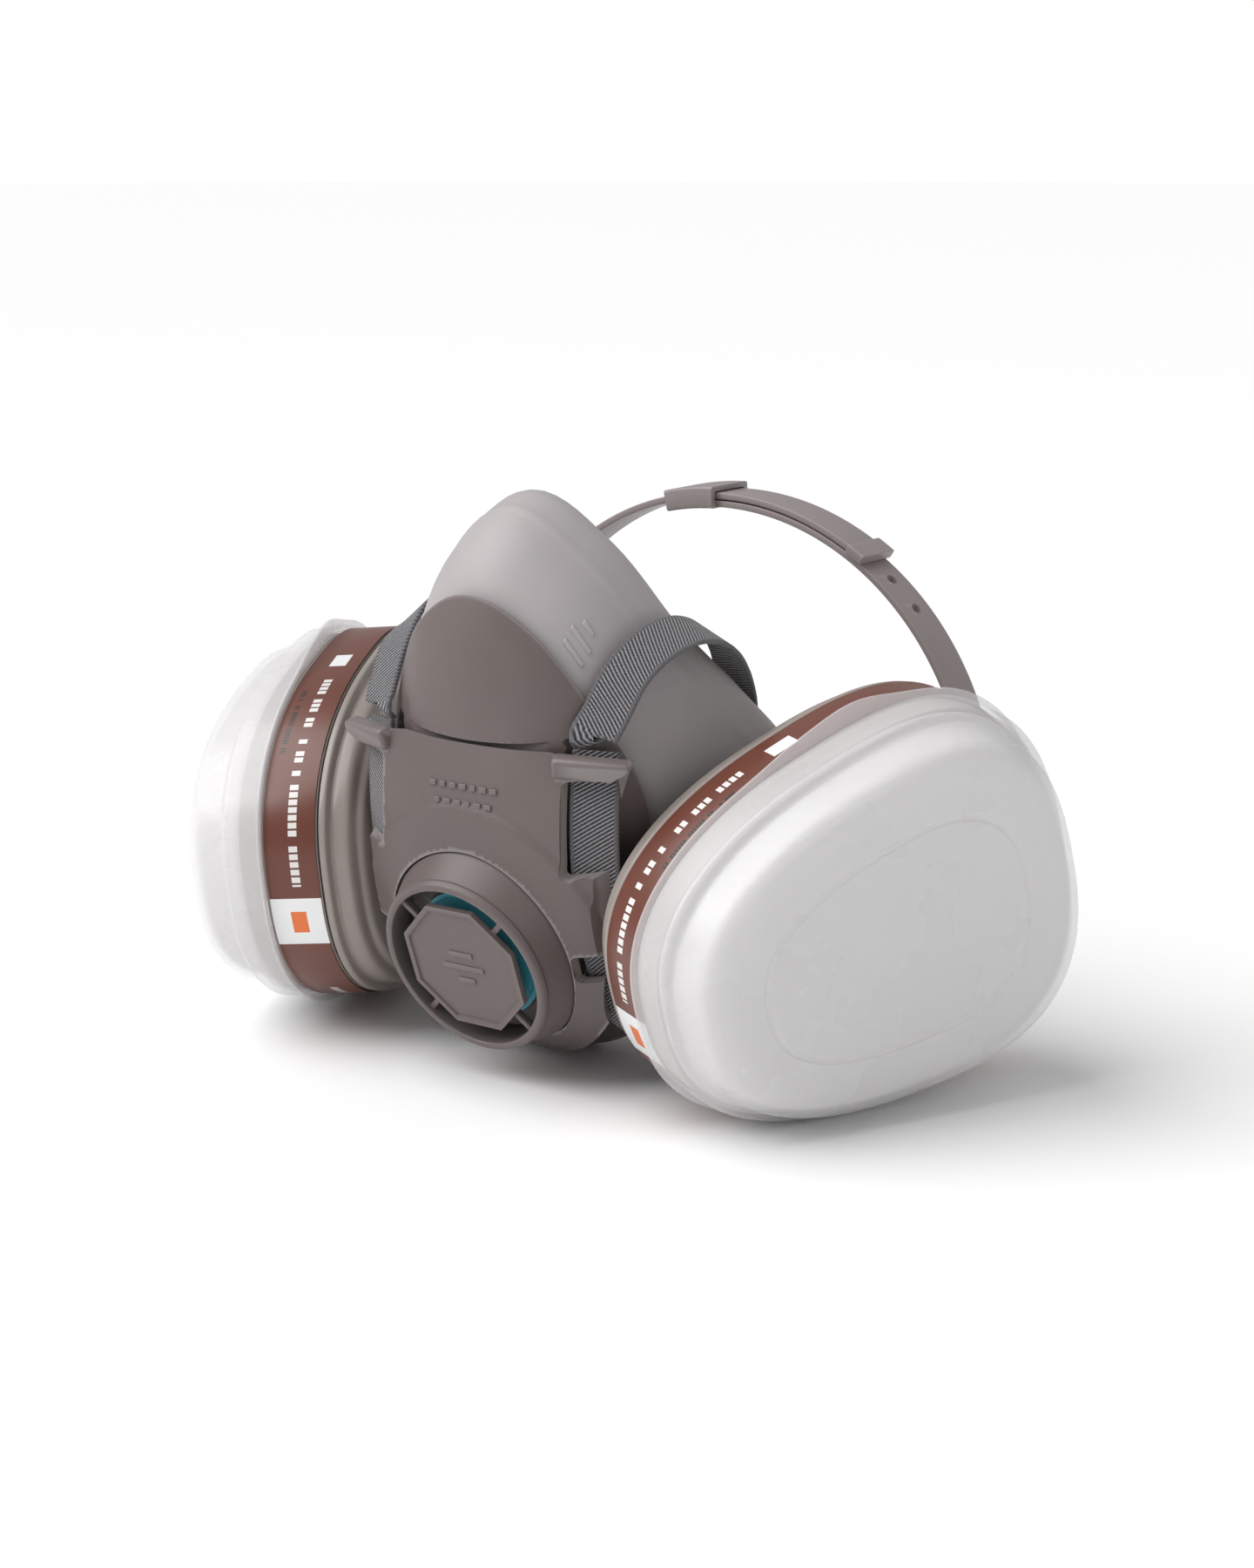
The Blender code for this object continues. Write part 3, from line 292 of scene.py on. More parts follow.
@dataclass(frozen=True)
class Finish:
    """A moulded plastic or rubber.

    Attributes:
        name: The material's name.
        slot: The record's material slot.
        colour: Base colour, linear.
        roughness: Mean roughness.
        grain: Grain frequency, per metre.
        depth: Strength of the grain's bump.
        mottle: Share by which the tone wanders.
        edge: How strongly the painted highlight lightens sharp edges.
        coat: Clear gloss over the colour.
        subsurface: Soft scatter under the surface.
        alpha: How much the surface hides what is behind it.
    """

    name: str
    slot: str
    colour: tuple
    roughness: float
    grain: float = 1400.0
    depth: float = 0.08
    mottle: float = 0.08
    edge: float = 0.12
    coat: float = 0.0
    subsurface: float = 0.0
    alpha: float = 1.0

    def build(self, patterns: Patterns) -> bpy.types.Material:
        """Make the material.

        Args:
            patterns: The shared node groups.

        Returns:
            The material.
        """
        material = bpy.data.materials.new(self.name)
        material.use_nodes = True
        tree = material.node_tree
        shader = tree.nodes["Principled BSDF"]
        shader.inputs["Roughness"].default_value = self.roughness
        shader.inputs["Coat Weight"].default_value = self.coat
        shader.inputs["Coat Roughness"].default_value = 0.22
        shader.inputs["Subsurface Weight"].default_value = self.subsurface
        shader.inputs["Subsurface Radius"].default_value = (0.004, 0.004, 0.004)
        shader.inputs["Alpha"].default_value = self.alpha
        material.diffuse_color = (*self.colour, self.alpha)
        self.dress(tree, shader, patterns)
        return material

    def moulded(self, tree: bpy.types.NodeTree, patterns: Patterns) -> bpy.types.Node:
        """The shared moulding group on the piece's own coordinates.

        Args:
            tree: The material's tree.
            patterns: The shared node groups.

        Returns:
            The group's node.
        """
        where = put(tree, "TexCoord").outputs["Object"]
        surface_node = tree.nodes.new("ShaderNodeGroup")
        surface_node.node_tree = patterns.moulding
        tree.links.new(where, surface_node.inputs["Vector"])
        surface_node.inputs["Grain"].default_value = self.grain
        surface_node.inputs["Mottle"].default_value = 38.0
        return surface_node

    def toned(self, tree: bpy.types.NodeTree, group: bpy.types.Node, colour: object) -> bpy.types.NodeSocket:
        """A colour with the mould's wandering tone and a painted highlight on sharp edges.

        Args:
            tree: The material's tree.
            group: The moulding group's node.
            colour: A colour or the socket that gives it.

        Returns:
            The toned colour's socket.
        """
        value = ramp(tree, group.outputs["Tone"], 0.3, 0.7, 1.0 - self.mottle, 1.0 + self.mottle)
        toned = put(tree, "HueSaturation", None, {"Color": colour, "Value": value}).outputs["Color"]
        # Painted highlight: sharp edges are mixed toward a pale grey.
        edge_highlight = maths(tree, "MULTIPLY", group.outputs["Edge"], self.edge)
        return mixed(tree, edge_highlight, toned, (0.8, 0.78, 0.76, 1.0))

    def dress(self, tree: bpy.types.NodeTree, shader: bpy.types.Node, patterns: Patterns) -> None:
        """Link the colour, roughness and bump.

        Args:
            tree: The material's tree.
            shader: Its Principled BSDF.
            patterns: The shared node groups.
        """
        group = self.moulded(tree, patterns)
        colour = self.toned(tree, group, (*self.colour, 1.0))
        rough = ramp(tree, group.outputs["Tone"], 0.3, 0.7, self.roughness - 0.05, self.roughness + 0.06)
        bump = put(tree, "Bump", None, {"Strength": self.depth, "Distance": 0.0004,
                                        "Height": group.outputs["Height"]})
        tree.links.new(colour, shader.inputs["Base Color"])
        tree.links.new(rough, shader.inputs["Roughness"])
        tree.links.new(bump.outputs["Normal"], shader.inputs["Normal"])


@dataclass(frozen=True)
class Webbing(Finish):
    """Elastic twill webbing, light ribs over dark ground."""

    light: tuple = (0.36, 0.35, 0.37)
    half_width: float = 5.7

    def dress(self, tree: bpy.types.NodeTree, shader: bpy.types.Node, patterns: Patterns) -> None:
        """Link the weave's colours and relief, as Finish.dress."""
        group = tree.nodes.new("ShaderNodeGroup")
        group.node_tree = patterns.weave
        tree.links.new(put(tree, "UVMap", {"uv_map": "UVMap"}).outputs["UV"], group.inputs["Vector"])
        group.inputs["Half Width"].default_value = self.half_width
        body = mixed(tree, group.outputs["Thread"], (*self.colour, 1.0), (*self.light, 1.0))
        colour = mixed(tree, group.outputs["Selvedge"], body, SELVEDGE)
        bump = put(tree, "Bump", None, {"Strength": 0.9, "Distance": 0.0003,
                                        "Height": group.outputs["Height"]})
        tree.links.new(colour, shader.inputs["Base Color"])
        tree.links.new(bump.outputs["Normal"], shader.inputs["Normal"])
        shader.inputs["Sheen Weight"].default_value = 0.25


@dataclass(frozen=True)
class PrintedLabel(Finish):
    """Red-brown band with rows of white dashes, a white panel and a small badge."""

    panel: tuple = (0.0, 0.0)
    badge: tuple = (0.0, 0.0)

    def dress(self, tree: bpy.types.NodeTree, shader: bpy.types.Node, patterns: Patterns) -> None:
        """Link the printed colours, as Finish.dress."""
        surface_node = self.moulded(tree, patterns)
        uv = put(tree, "UVMap", {"uv_map": "UVMap"}).outputs["UV"]
        along = put(tree, "SeparateXYZ", None, {0: uv}).outputs[0]
        across = put(tree, "SeparateXYZ", None, {0: uv}).outputs[1]

        def window(socket: object, low: float, high: float) -> bpy.types.NodeSocket:
            """1 between low and high, else 0."""
            above = maths(tree, "GREATER_THAN", socket, low)
            return maths(tree, "MULTIPLY", above, maths(tree, "LESS_THAN", socket, high))

        colour = (*self.colour, 1.0)
        white, black = (0.78, 0.76, 0.74, 1.0), (0.02, 0.012, 0.01, 1.0)
        for row, height, dash, low, high, ink in ((6.0, 1.1, 1.9, 97.0, 162.0, white),
                                                  (10.6, 0.7, 0.9, 104.0, 128.0, black),
                                                  (6.4, 1.0, 1.5, 198.0, 214.0, white),
                                                  (6.0, 1.1, 1.9, 240.0, 300.0, white)):
            group = tree.nodes.new("ShaderNodeGroup")
            group.node_tree = patterns.print
            tree.links.new(uv, group.inputs["Vector"])
            for key, number in (("Row", row), ("Height", height), ("Dash", dash)):
                group.inputs[key].default_value = number
            mask = maths(tree, "MULTIPLY", group.outputs["Mask"], window(along, low, high))
            colour = mixed(tree, mask, colour, ink)
        panel = window(along, *self.panel)
        colour = mixed(tree, panel, colour, (0.82, 0.82, 0.82, 1.0))
        bar = maths(tree, "MULTIPLY", window(along, self.panel[0] + 3.4, self.panel[1] - 3.4),
                    window(across, 4.6, 8.6))
        colour = mixed(tree, bar, colour, (0.75, 0.16, 0.03, 1.0))
        badge = maths(tree, "MULTIPLY", window(along, *self.badge), window(across, 4.0, 8.4))
        colour = mixed(tree, badge, colour, (0.82, 0.82, 0.82, 1.0))
        toned = self.toned(tree, surface_node, colour)
        tree.links.new(toned, shader.inputs["Base Color"])


@dataclass(frozen=True)
class Fleece(Finish):
    """White non-woven filter pad with embossed dots."""

    def dress(self, tree: bpy.types.NodeTree, shader: bpy.types.Node, patterns: Patterns) -> None:
        """Link the dots and the fibres, as Finish.dress."""
        surface_node = self.moulded(tree, patterns)
        group = tree.nodes.new("ShaderNodeGroup")
        group.node_tree = patterns.dots
        tree.links.new(put(tree, "UVMap", {"uv_map": "UVMap"}).outputs["UV"], group.inputs["Vector"])
        group.inputs["Pitch"].default_value = 3.4
        relief = maths(tree, "ADD", group.outputs["Height"],
                       maths(tree, "MULTIPLY", surface_node.outputs["Height"], 0.8))
        bump = put(tree, "Bump", None, {"Strength": 0.5, "Distance": 0.0005, "Height": relief})
        colour = mixed(tree, ramp(tree, group.outputs["Height"], 0.0, 1.0), (0.9, 0.9, 0.9, 1.0),
                       (*self.colour, 1.0))
        tree.links.new(colour, shader.inputs["Base Color"])
        tree.links.new(bump.outputs["Normal"], shader.inputs["Normal"])


PATTERNS = Patterns()
SELVEDGE = (0.13, 0.125, 0.135, 1.0)
ELASTOMER = Finish("grey_elastomer", "grey_elastomer", (0.40, 0.37, 0.375), 0.5, depth=0.05, mottle=0.03,
                   edge=0.1, subsurface=0.06)
DARK = Finish("dark_moulding", "dark_moulding", (0.128, 0.102, 0.098), 0.42, depth=0.1, mottle=0.05,
              edge=0.16)
TAUPE = Finish("cartridge_plastic", "cartridge_plastic", (0.30, 0.258, 0.235), 0.33, depth=0.04, mottle=0.04,
               coat=0.25)
CARBON = Finish("carbon_granules", "carbon_granules", (0.02, 0.02, 0.02), 0.85, grain=700.0, depth=1.0,
                edge=0.0)
SCREEN = Finish("screen_mesh", "screen_mesh", (0.6, 0.6, 0.58), 0.6, grain=2500.0, depth=0.6, edge=0.0)
FLEECE = Fleece("filter_fleece", "filter_fleece", (0.80, 0.80, 0.80), 0.95, grain=1500.0, edge=0.0)
FROSTED = Finish("frosted_cap", "frosted_cap", (0.86, 0.84, 0.85), 0.28, depth=0.02, mottle=0.01, edge=0.0,
                 coat=0.35, alpha=0.4)
SILICONE = Finish("blue_silicone", "blue_silicone", (0.10, 0.50, 0.64), 0.35, depth=0.03, mottle=0.03)
RUBBER = Finish("gasket_rubber", "gasket_rubber", (0.05, 0.05, 0.05), 0.6)
WEBBING = Webbing("woven_webbing", "woven_webbing", (0.022, 0.021, 0.025), 0.9)
CRADLE = Finish("cradle_plastic", "cradle_plastic", (0.27, 0.225, 0.225), 0.4, depth=0.05, mottle=0.04,
                edge=0.1)
LABEL = PrintedLabel("label_print", "label_print", (0.135, 0.034, 0.018), 0.34, depth=0.0, mottle=0.06,
                     edge=0.0, coat=0.2, panel=(165.0, 177.5), badge=(84.0, 91.0))
MATERIALS = {f.slot: f.build(PATTERNS) for f in (ELASTOMER, DARK, TAUPE, CARBON, SCREEN, FLEECE, FROSTED,
                                                 SILICONE, RUBBER, WEBBING, CRADLE, LABEL)}


# ---- mesh helpers --------------------------------------------------------------------------
def surface(columns: int, rows: int, place: Place, uv: Optional[Place] = None,
            merge: bool = False) -> bmesh.types.BMesh:
    """A grid whose corners are moved to a surface.

    Args:
        columns: Quads along u.
        rows: Quads along v.
        place: Position in millimetres at (u, v), each from 0 to 1.
        uv: UV in millimetres at (u, v).
        merge: Join the seam where the surface meets itself.

    Returns:
        The mesh, in metres.
    """
    body = bmesh.new()
    bmesh.ops.create_grid(body, x_segments=columns, y_segments=rows, size=0.5)
    layer = body.loops.layers.uv.new("UVMap")
    for face in body.faces:
        for loop in face.loops:
            at = (loop.vert.co.x + 0.5, loop.vert.co.y + 0.5)
            loop[layer].uv = uv(*at) if uv else at
    for vert in body.verts:
        vert.co = Vector(place(vert.co.x + 0.5, vert.co.y + 0.5)) * MM
    if merge:
        bmesh.ops.remove_doubles(body, verts=body.verts, dist=1e-7)
    return body


def closed(body: bmesh.types.BMesh) -> bmesh.types.BMesh:
    """Fill the open ends and face every side outwards.

    Args:
        body: A tube-like mesh.

    Returns:
        The same mesh.
    """
    rim = [edge for edge in body.edges if edge.is_boundary]
    if rim:
        bmesh.ops.holes_fill(body, edges=rim, sides=0)
    bmesh.ops.recalc_face_normals(body, faces=body.faces)
    return body


def rounded(points: Sequence[Sequence[float]], radius: float, steps: int = 3,
            loop: bool = True) -> list[Vector]:
    """An outline with its corners rounded.

    Args:
        points: (x, y) corners, or (x, y, radius) for a radius of its own.
        radius: The usual corner radius.
        steps: Stretches in each corner.
        loop: Whether the last corner joins the first.

    Returns:
        The rounded outline's points.
    """
    corners = [Vector((p[0], p[1])) for p in points]
    radii = [p[2] if len(p) > 2 else radius for p in points]
    made = []
    for i, corner in enumerate(corners):
        if not loop and i in (0, len(corners) - 1):
            made.append(corner)
            continue
        before, after = corners[i - 1], corners[(i + 1) % len(corners)]
        reach = min(radii[i], 0.46 * (before - corner).length, 0.46 * (after - corner).length)
        a = corner + (before - corner).normalized() * reach
        b = corner + (after - corner).normalized() * reach
        for k in range(steps + 1):
            t = k / steps
            made.append(a * (1 - t) ** 2 + corner * (2 * t * (1 - t)) + b * t**2)
    return made


def turned(profile: Sequence[Sequence[float]], radius: float = 0.35, steps: int = 96) -> bmesh.types.BMesh:
    """A ring turned about z from a closed profile.

    Args:
        profile: (radius, height) corners in millimetres, off the axis.
        radius: Corner radius.
        steps: Stretches round the axis.

    Returns:
        The mesh, in metres.
    """
    outline = rounded(profile, radius)
    body = bmesh.new()
    verts = [body.verts.new((p.x * MM, 0.0, p.y * MM)) for p in outline]
    edges = [body.edges.new((a, b)) for a, b in zip(verts, verts[1:] + verts[:1])]
    bmesh.ops.spin(body, geom=verts + edges, cent=(0, 0, 0), axis=(0, 0, 1), angle=2 * math.pi,
                   steps=steps, use_merge=True)
    bmesh.ops.remove_doubles(body, verts=body.verts, dist=1e-7)
    return closed(body)


def block(size: Sequence[float], centre: Sequence[float], radius: float = 0.3,
          turn: Matrix = Matrix()) -> bmesh.types.BMesh:
    """A box with rounded edges.

    Args:
        size: Full size in millimetres.
        centre: Its centre in millimetres, before the turn.
        radius: Edge radius.
        turn: Where it goes after that.

    Returns:
        The mesh, in metres.
    """
    body = bmesh.new()
    bmesh.ops.create_cube(body, size=1.0)
    bmesh.ops.scale(body, verts=body.verts, vec=Vector(size) * MM)
    bmesh.ops.bevel(body, geom=body.edges[:], offset=radius * MM, offset_type="OFFSET", segments=3,
                    profile=0.5, affect="EDGES", material=-1)
    bmesh.ops.transform(body, verts=body.verts, matrix=turn @ Matrix.Translation(Vector(centre) * MM))
    return body


def joined(bodies: Sequence[bmesh.types.BMesh]) -> bmesh.types.BMesh:
    """Several meshes as one.

    Args:
        bodies: Meshes that are used up.

    Returns:
        The joined mesh.
    """
    whole = bmesh.new()
    for body in bodies:
        part = bpy.data.meshes.new("part")
        body.to_mesh(part)
        body.free()
        whole.from_mesh(part)
        bpy.data.meshes.remove(part)
    return whole


def smoothed(mesh: bpy.types.Mesh, angle: float = 32.0) -> None:
    """Shade a mesh smooth except at edges sharper than angle, in degrees."""
    mesh.shade_smooth()
    mesh.set_sharp_from_angle(angle=math.radians(angle))


def publish(name: str, body: bmesh.types.BMesh, finish: Finish, rides: Optional[str],
            place: Matrix = Matrix(), stands_for: Sequence[str] = ()) -> bpy.types.Object:
    """Make a finished piece from a mesh.

    Args:
        name: The piece's name.
        body: Its mesh, in metres, in the frame that place gives. It is used up.
        finish: Its finish.
        rides: The CAD body that carries it, or None to leave it unattached.
        place: The frame's matrix in the object's own frame.
        stands_for: CAD nodes that it replaces.

    Returns:
        The piece.
    """
    bmesh.ops.transform(body, verts=body.verts, matrix=place)
    mesh = bpy.data.meshes.new(name)
    body.to_mesh(mesh)
    body.free()
    mesh.materials.append(MATERIALS[finish.slot])
    smoothed(mesh)
    piece = bpy.data.objects.new(name, mesh)
    bpy.context.scene.collection.objects.link(piece)
    if rides:
        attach(piece, rides)
    if stands_for:
        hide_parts(*stands_for)
    LOG.info("%s: %d faces", name, len(mesh.polygons))
    return piece


def carved(body: bmesh.types.BMesh, wall: float = 0.0, tools: Sequence[tuple] = (),
           mirror: bool = False) -> bmesh.types.BMesh:
    """Thicken a sheet, cut and join it with tools, and mirror it.

    Args:
        body: The sheet or solid. It is used up, as the tools are.
        wall: Thickness in millimetres behind the sheet, or 0 for a solid.
        tools: (operation, mesh, matrix) of each tool.
        mirror: Whether to cut it at x = 0 and add its other half.

    Returns:
        The carved mesh.
    """
    work = helper(body)
    if wall:
        solid = work.modifiers.new("wall", "SOLIDIFY")
        solid.thickness, solid.offset = wall * MM, -1.0
    helpers = [work]
    for operation, tool_body, place in tools:
        bmesh.ops.transform(tool_body, verts=tool_body.verts, matrix=place)
        tool = helper(tool_body)
        cut = work.modifiers.new("cut", "BOOLEAN")
        cut.object, cut.operation, cut.solver, cut.use_self = tool, operation, "EXACT", bool(wall)
        helpers.append(tool)
    if mirror:
        other = work.modifiers.new("other_half", "MIRROR")
        other.use_bisect_axis[0], other.use_clip = True, True
        other.merge_threshold, other.bisect_threshold = 2e-5, 1e-6
    bpy.context.view_layer.update()
    graph = bpy.context.evaluated_depsgraph_get()
    mesh = bpy.data.meshes.new_from_object(work.evaluated_get(graph))
    whole = bmesh.new()
    whole.from_mesh(mesh)
    bmesh.ops.remove_doubles(whole, verts=whole.verts, dist=2e-6)
    bpy.data.meshes.remove(mesh)
    for tool in helpers:
        bpy.data.objects.remove(tool)
    return whole


def helper(body: bmesh.types.BMesh) -> bpy.types.Object:
    """A passing object that holds a mesh, which it uses up."""
    mesh = bpy.data.meshes.new("helper")
    body.to_mesh(mesh)
    body.free()
    obj = bpy.data.objects.new("helper", mesh)
    bpy.context.scene.collection.objects.link(obj)
    return obj


def eased(piece: bpy.types.Object, width: float = 0.35, angle: float = 40.0) -> bpy.types.Object:
    """Round a piece's sharp edges.

    Args:
        piece: The piece.
        width: Edge radius in millimetres.
        angle: Edges sharper than this are rounded, in degrees.

    Returns:
        The piece.
    """
    edge = piece.modifiers.new("edges", "BEVEL")
    edge.width, edge.segments, edge.limit_method = width * MM, 2, "ANGLE"
    edge.angle_limit = math.radians(angle)
    return piece


def disc(radius: float, low: float, high: float, segments: int = 64) -> bmesh.types.BMesh:
    """A round bar along z from low to high, in millimetres."""
    body = bmesh.new()
    bmesh.ops.create_cone(body, cap_ends=True, segments=segments, radius1=radius * MM,
                          radius2=radius * MM, depth=(high - low) * MM,
                          matrix=Matrix.Translation((0, 0, 0.5 * (low + high) * MM)))
    return body


def polished(node: str, finish: Finish, bevel: float = 0.3) -> bpy.types.Object:
    """A CAD node's solid with merged corners and rounded edges, standing in for the node.

    Args:
        node: The CAD node's name.
        finish: The piece's finish.
        bevel: Edge radius in millimetres.

    Returns:
        The piece.
    """
    source = frame["nodes"][node]
    body = bmesh.new()
    body.from_mesh(source.data)
    bmesh.ops.remove_doubles(body, verts=body.verts, dist=1e-6)
    bmesh.ops.dissolve_limit(body, angle_limit=math.radians(1.0), verts=body.verts, edges=body.edges)
    piece = publish(node + "_finished", body, finish, source["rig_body"], stands_for=[node])
    return eased(piece, bevel)


def blend_stations(stations: Sequence[Sequence[float]], at: float) -> float:
    """A smooth value through (position, value) stations.

    Args:
        stations: The stations, in rising order.
        at: The position, held inside the stations.

    Returns:
        The value there.
    """
    at = min(max(at, stations[0][0]), stations[-1][0])
    i = max(k for k in range(len(stations) - 1) if stations[k][0] <= at)

    def slope(k: int) -> float:
        """The curve's slope at station k, level at both ends."""
        if k in (0, len(stations) - 1):
            return 0.0
        low, high = stations[k - 1], stations[k + 1]
        return (high[1] - low[1]) / (high[0] - low[0])

    (x0, y0), (x1, y1) = stations[i], stations[i + 1]
    span = x1 - x0
    t = (at - x0) / span
    return ((2 * t**3 - 3 * t**2 + 1) * y0 + (t**3 - 2 * t**2 + t) * span * slope(i)
            + (3 * t**2 - 2 * t**3) * y1 + (t**3 - t**2) * span * slope(i + 1))


def step(low: float, high: float, value: float) -> float:
    """A smooth 0 to 1 between low and high."""
    t = min(max((value - low) / (high - low), 0.0), 1.0)
    return t * t * (3 - 2 * t)


def spun(degrees: float, axis: str) -> Matrix:
    """A turn about one axis."""
    return Matrix.Rotation(math.radians(degrees), 4, axis)


def moved(x: float, y: float, z: float) -> Matrix:
    """A shift in millimetres."""
    return Matrix.Translation(Vector((x, y, z)) * MM)


# ---- frames --------------------------------------------------------------------------------
GAP = 0.3
ROUTE_END = 99.0    # past the last point of any strap's route
SPLICE = 11.0       # point of the right upper strap where its rear piece takes over
VALVE_PITCH = 20.0
VALVE_HEIGHT = 29.4
FLAP_MIDDLE = 2.3
LEAN = spun(VALVE_PITCH, "X")
FLAP_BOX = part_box("exhale_flap")
ORIGIN = Matrix.Translation(0.5 * (FLAP_BOX[0] + FLAP_BOX[1])
                            - LEAN @ (Vector((0.0, FLAP_MIDDLE, VALVE_HEIGHT)) * MM))
MASK = ORIGIN @ LEAN
VALVE = MASK @ moved(0, 0, VALVE_HEIGHT) @ spun(90, "X")


@dataclass(frozen=True)
class PortPlace:
    """Where the bayonets point, in the object's own frame.

    Attributes:
        rim: Middle of the left cap's rim, in millimetres.
        yaw: Bayonet axis from straight ahead, degrees.
        drop: Bayonet axis below level, degrees.
    """

    rim: tuple = (77.7, 29.4, 42.0)
    yaw: float = 66.8
    drop: float = 5.0

    def frame_at(self, side: Side, twist: float) -> Matrix:
        """The cartridge frame with its long axis raised.

        Args:
            side: The wearer's side.
            twist: How far the long axis is raised, degrees.

        Returns:
            The frame's matrix.
        """
        yaw, drop, sign = math.radians(self.yaw), math.radians(self.drop), side.value
        out = Vector((sign * math.sin(yaw) * math.cos(drop), -math.cos(yaw) * math.cos(drop),
                      -math.sin(drop)))
        back = Vector((sign * math.cos(yaw), math.sin(yaw), 0))
        rise = back.cross(out) * sign
        if rise.z < 0:
            rise = -rise
        turn = math.radians(twist)
        long_axis = (back * math.cos(turn) + rise * math.sin(turn)).normalized()
        matrix = Matrix((long_axis, out.cross(long_axis), out)).transposed().to_4x4()
        matrix.translation = Vector((sign * self.rim[0], self.rim[1], self.rim[2])) * MM
        return ORIGIN @ matrix


# ---- facepiece -----------------------------------------------------------------------------
@dataclass
class Facepiece:
    """Soft facepiece with its sealing lip, and the hard nose shell over it."""

    front: float = 13.0
    nose: float = 95.6
    chin: float = 45.2
    cheek: float = 52.0
    sunk: float = 2.0
    proud: float = 0.7
    seal_start: float = 27.2
    shell_edge: float = 30.0
    step_height: float = 79.7
    seat: float = -33.3
    columns: int = 110
    edge: tuple = ((-90, 42), (-60, 49), (-30, 62), (0, 71), (27, 71), (45, 66), (63, 59), (78, 57), (90, 58))
    power: tuple = ((-90, 2.6), (-45, 2.2), (0, 1.6), (20, 1.7), (45, 2.75), (60, 2.7), (90, 2.5))
    lip: tuple = ((0, 0), (0.9, 2.4), (3.0, 4.5), (6.3, 5.6), (10.0, 5.4), (13.2, 4.0))
    reach: list = field(init=False)

    def __post_init__(self) -> None:
        """Work out the reach of the form at each angle about the valve axis."""
        self.reach = [(-90, self.chin), (-60, self.chin - 1.5), (-30, 0.5 * (self.chin + self.cheek) - 1),
                      (0, self.cheek), (27, self.cheek + 3.0), (45, self.cheek + 7.6), (63, self.nose - 24.6),
                      (78, self.nose - 8.2), (90, self.nose)]

    @staticmethod
    def around(stations: Sequence[tuple], angle: float) -> float:
        """A station value at an angle about the valve axis, alike on both sides of the middle."""
        if angle > 90:
            angle = 180 - angle
        if angle < -90:
            angle = -180 - angle
        return blend_stations(stations, angle)

    def form(self, angle: float, turn: float, grow: float) -> Vector:
        """A point of the facepiece's form.

        Args:
            angle: Angle about the valve axis, degrees.
            turn: 0 at the front to 90 at the edge.
            grow: How far outside the form.

        Returns:
            The point in the mask frame, in millimetres.
        """
        power = self.around(self.power, angle)
        outward = math.sin(math.radians(turn)) ** (2 / power)
        forward = math.cos(math.radians(turn)) ** (2 / power) if turn < 90 else 0.0
        lateral = (self.around(self.reach, angle) + grow) * outward
        edge = self.around(self.edge, angle)
        turned_angle = math.radians(angle)
        return Vector((lateral * math.cos(turned_angle), edge + (self.front - grow - edge) * forward,
                       VALVE_HEIGHT + lateral * math.sin(turned_angle)))

    def turn_at(self, angle: float, depth: float, grow: float) -> float:
        """The turn at which the form reaches a depth."""
        edge = self.around(self.edge, angle)
        forward = (edge - depth) / (edge - self.front + grow)
        return math.degrees(math.acos(forward ** (self.around(self.power, angle) / 2)))

    def seal_point(self, u: float, v: float) -> Vector:
        """A point of the soft wall (v below 0.6) and of its in-turned lip."""
        angle = 94.0 - 188.0 * u
        if v <= 0.6:
            start = self.turn_at(angle, self.seal_start, -self.sunk)
            turn = start + (90 - start) * v / 0.6
            point = self.form(angle, turn, -self.sunk)
            behind = self.around(self.edge, angle) - point.y
            ridge = 0.4 * math.exp(-((behind - 7.5) / 0.7) ** 2)
            return self.form(angle, turn, ridge - self.sunk) if ridge > 0.01 else point
        at = (v - 0.6) / 0.4 * (len(self.lip) - 1)
        inset = blend_stations([(k, p[0]) for k, p in enumerate(self.lip)], at)
        depth = blend_stations([(k, p[1]) for k, p in enumerate(self.lip)], at)
        reach = self.around(self.reach, angle) - self.sunk - inset
        return Vector((reach * math.cos(math.radians(angle)), self.around(self.edge, angle) + depth,
                       VALVE_HEIGHT + reach * math.sin(math.radians(angle))))

    def make_seal(self, ports: PortPlace) -> None:
        """Soft wall with its lip, both port seats and a raised size mark.

        Args:
            ports: Where the bayonets are.
        """
        port = MASK.inverted() @ ports.frame_at(Side.LEFT, 17.5)
        seat = self.seat
        cuts = ((21.0, seat, seat + 14), (14.7, seat - 3.5, seat + 0.5), (21.0, seat - 18, seat - 3))
        tools = [("UNION", disc(22.5, seat - 6, seat + 1), port)]
        tools += [("DIFFERENCE", disc(*cut), port) for cut in cuts]
        body = carved(surface(self.columns, 60, self.seal_point), 1.8, tools, True)
        publish("face_seal_soft", body, ELASTOMER, "facepiece", MASK, ["face_seal"])
        marks = []
        for k, width in enumerate((7.5, 7.5, 4.0)):
            angle, depth = 71.0, 33.5 + 2.8 * k
            spot, ahead, beside = (self.form(angle + a, self.turn_at(angle + a, depth + d, -self.sunk),
                                             -self.sunk)
                                   for a, d in ((0, 0), (0, 0.5), (0.5, 0)))
            along, up = (beside - spot).normalized(), (ahead - spot).normalized()
            turn = Matrix((along, up, along.cross(up))).transposed().to_4x4()
            marks.append(block((width, 1.3, 0.9), (0, 0, 0), 0.35, moved(*spot) @ turn))
        publish("size_mark", joined(marks), ELASTOMER, "facepiece", MASK)

    def make_shell(self, yoke: "Yoke") -> None:
        """Hard nose shell, stepped back where the yoke lies on it.

        Args:
            yoke: The yoke that covers its lower part.
        """
        def point(u: float, v: float) -> Vector:
            """A point of the shell's outer face before its step."""
            angle = 94.0 - 188.0 * u
            rear = self.shell_edge - 1.6 * step(40.0, 75.0, min(angle, 180.0 - angle))
            end = self.turn_at(angle, rear, self.proud)
            return self.form(angle, 15.0 + (end - 15.0) * v, self.proud)

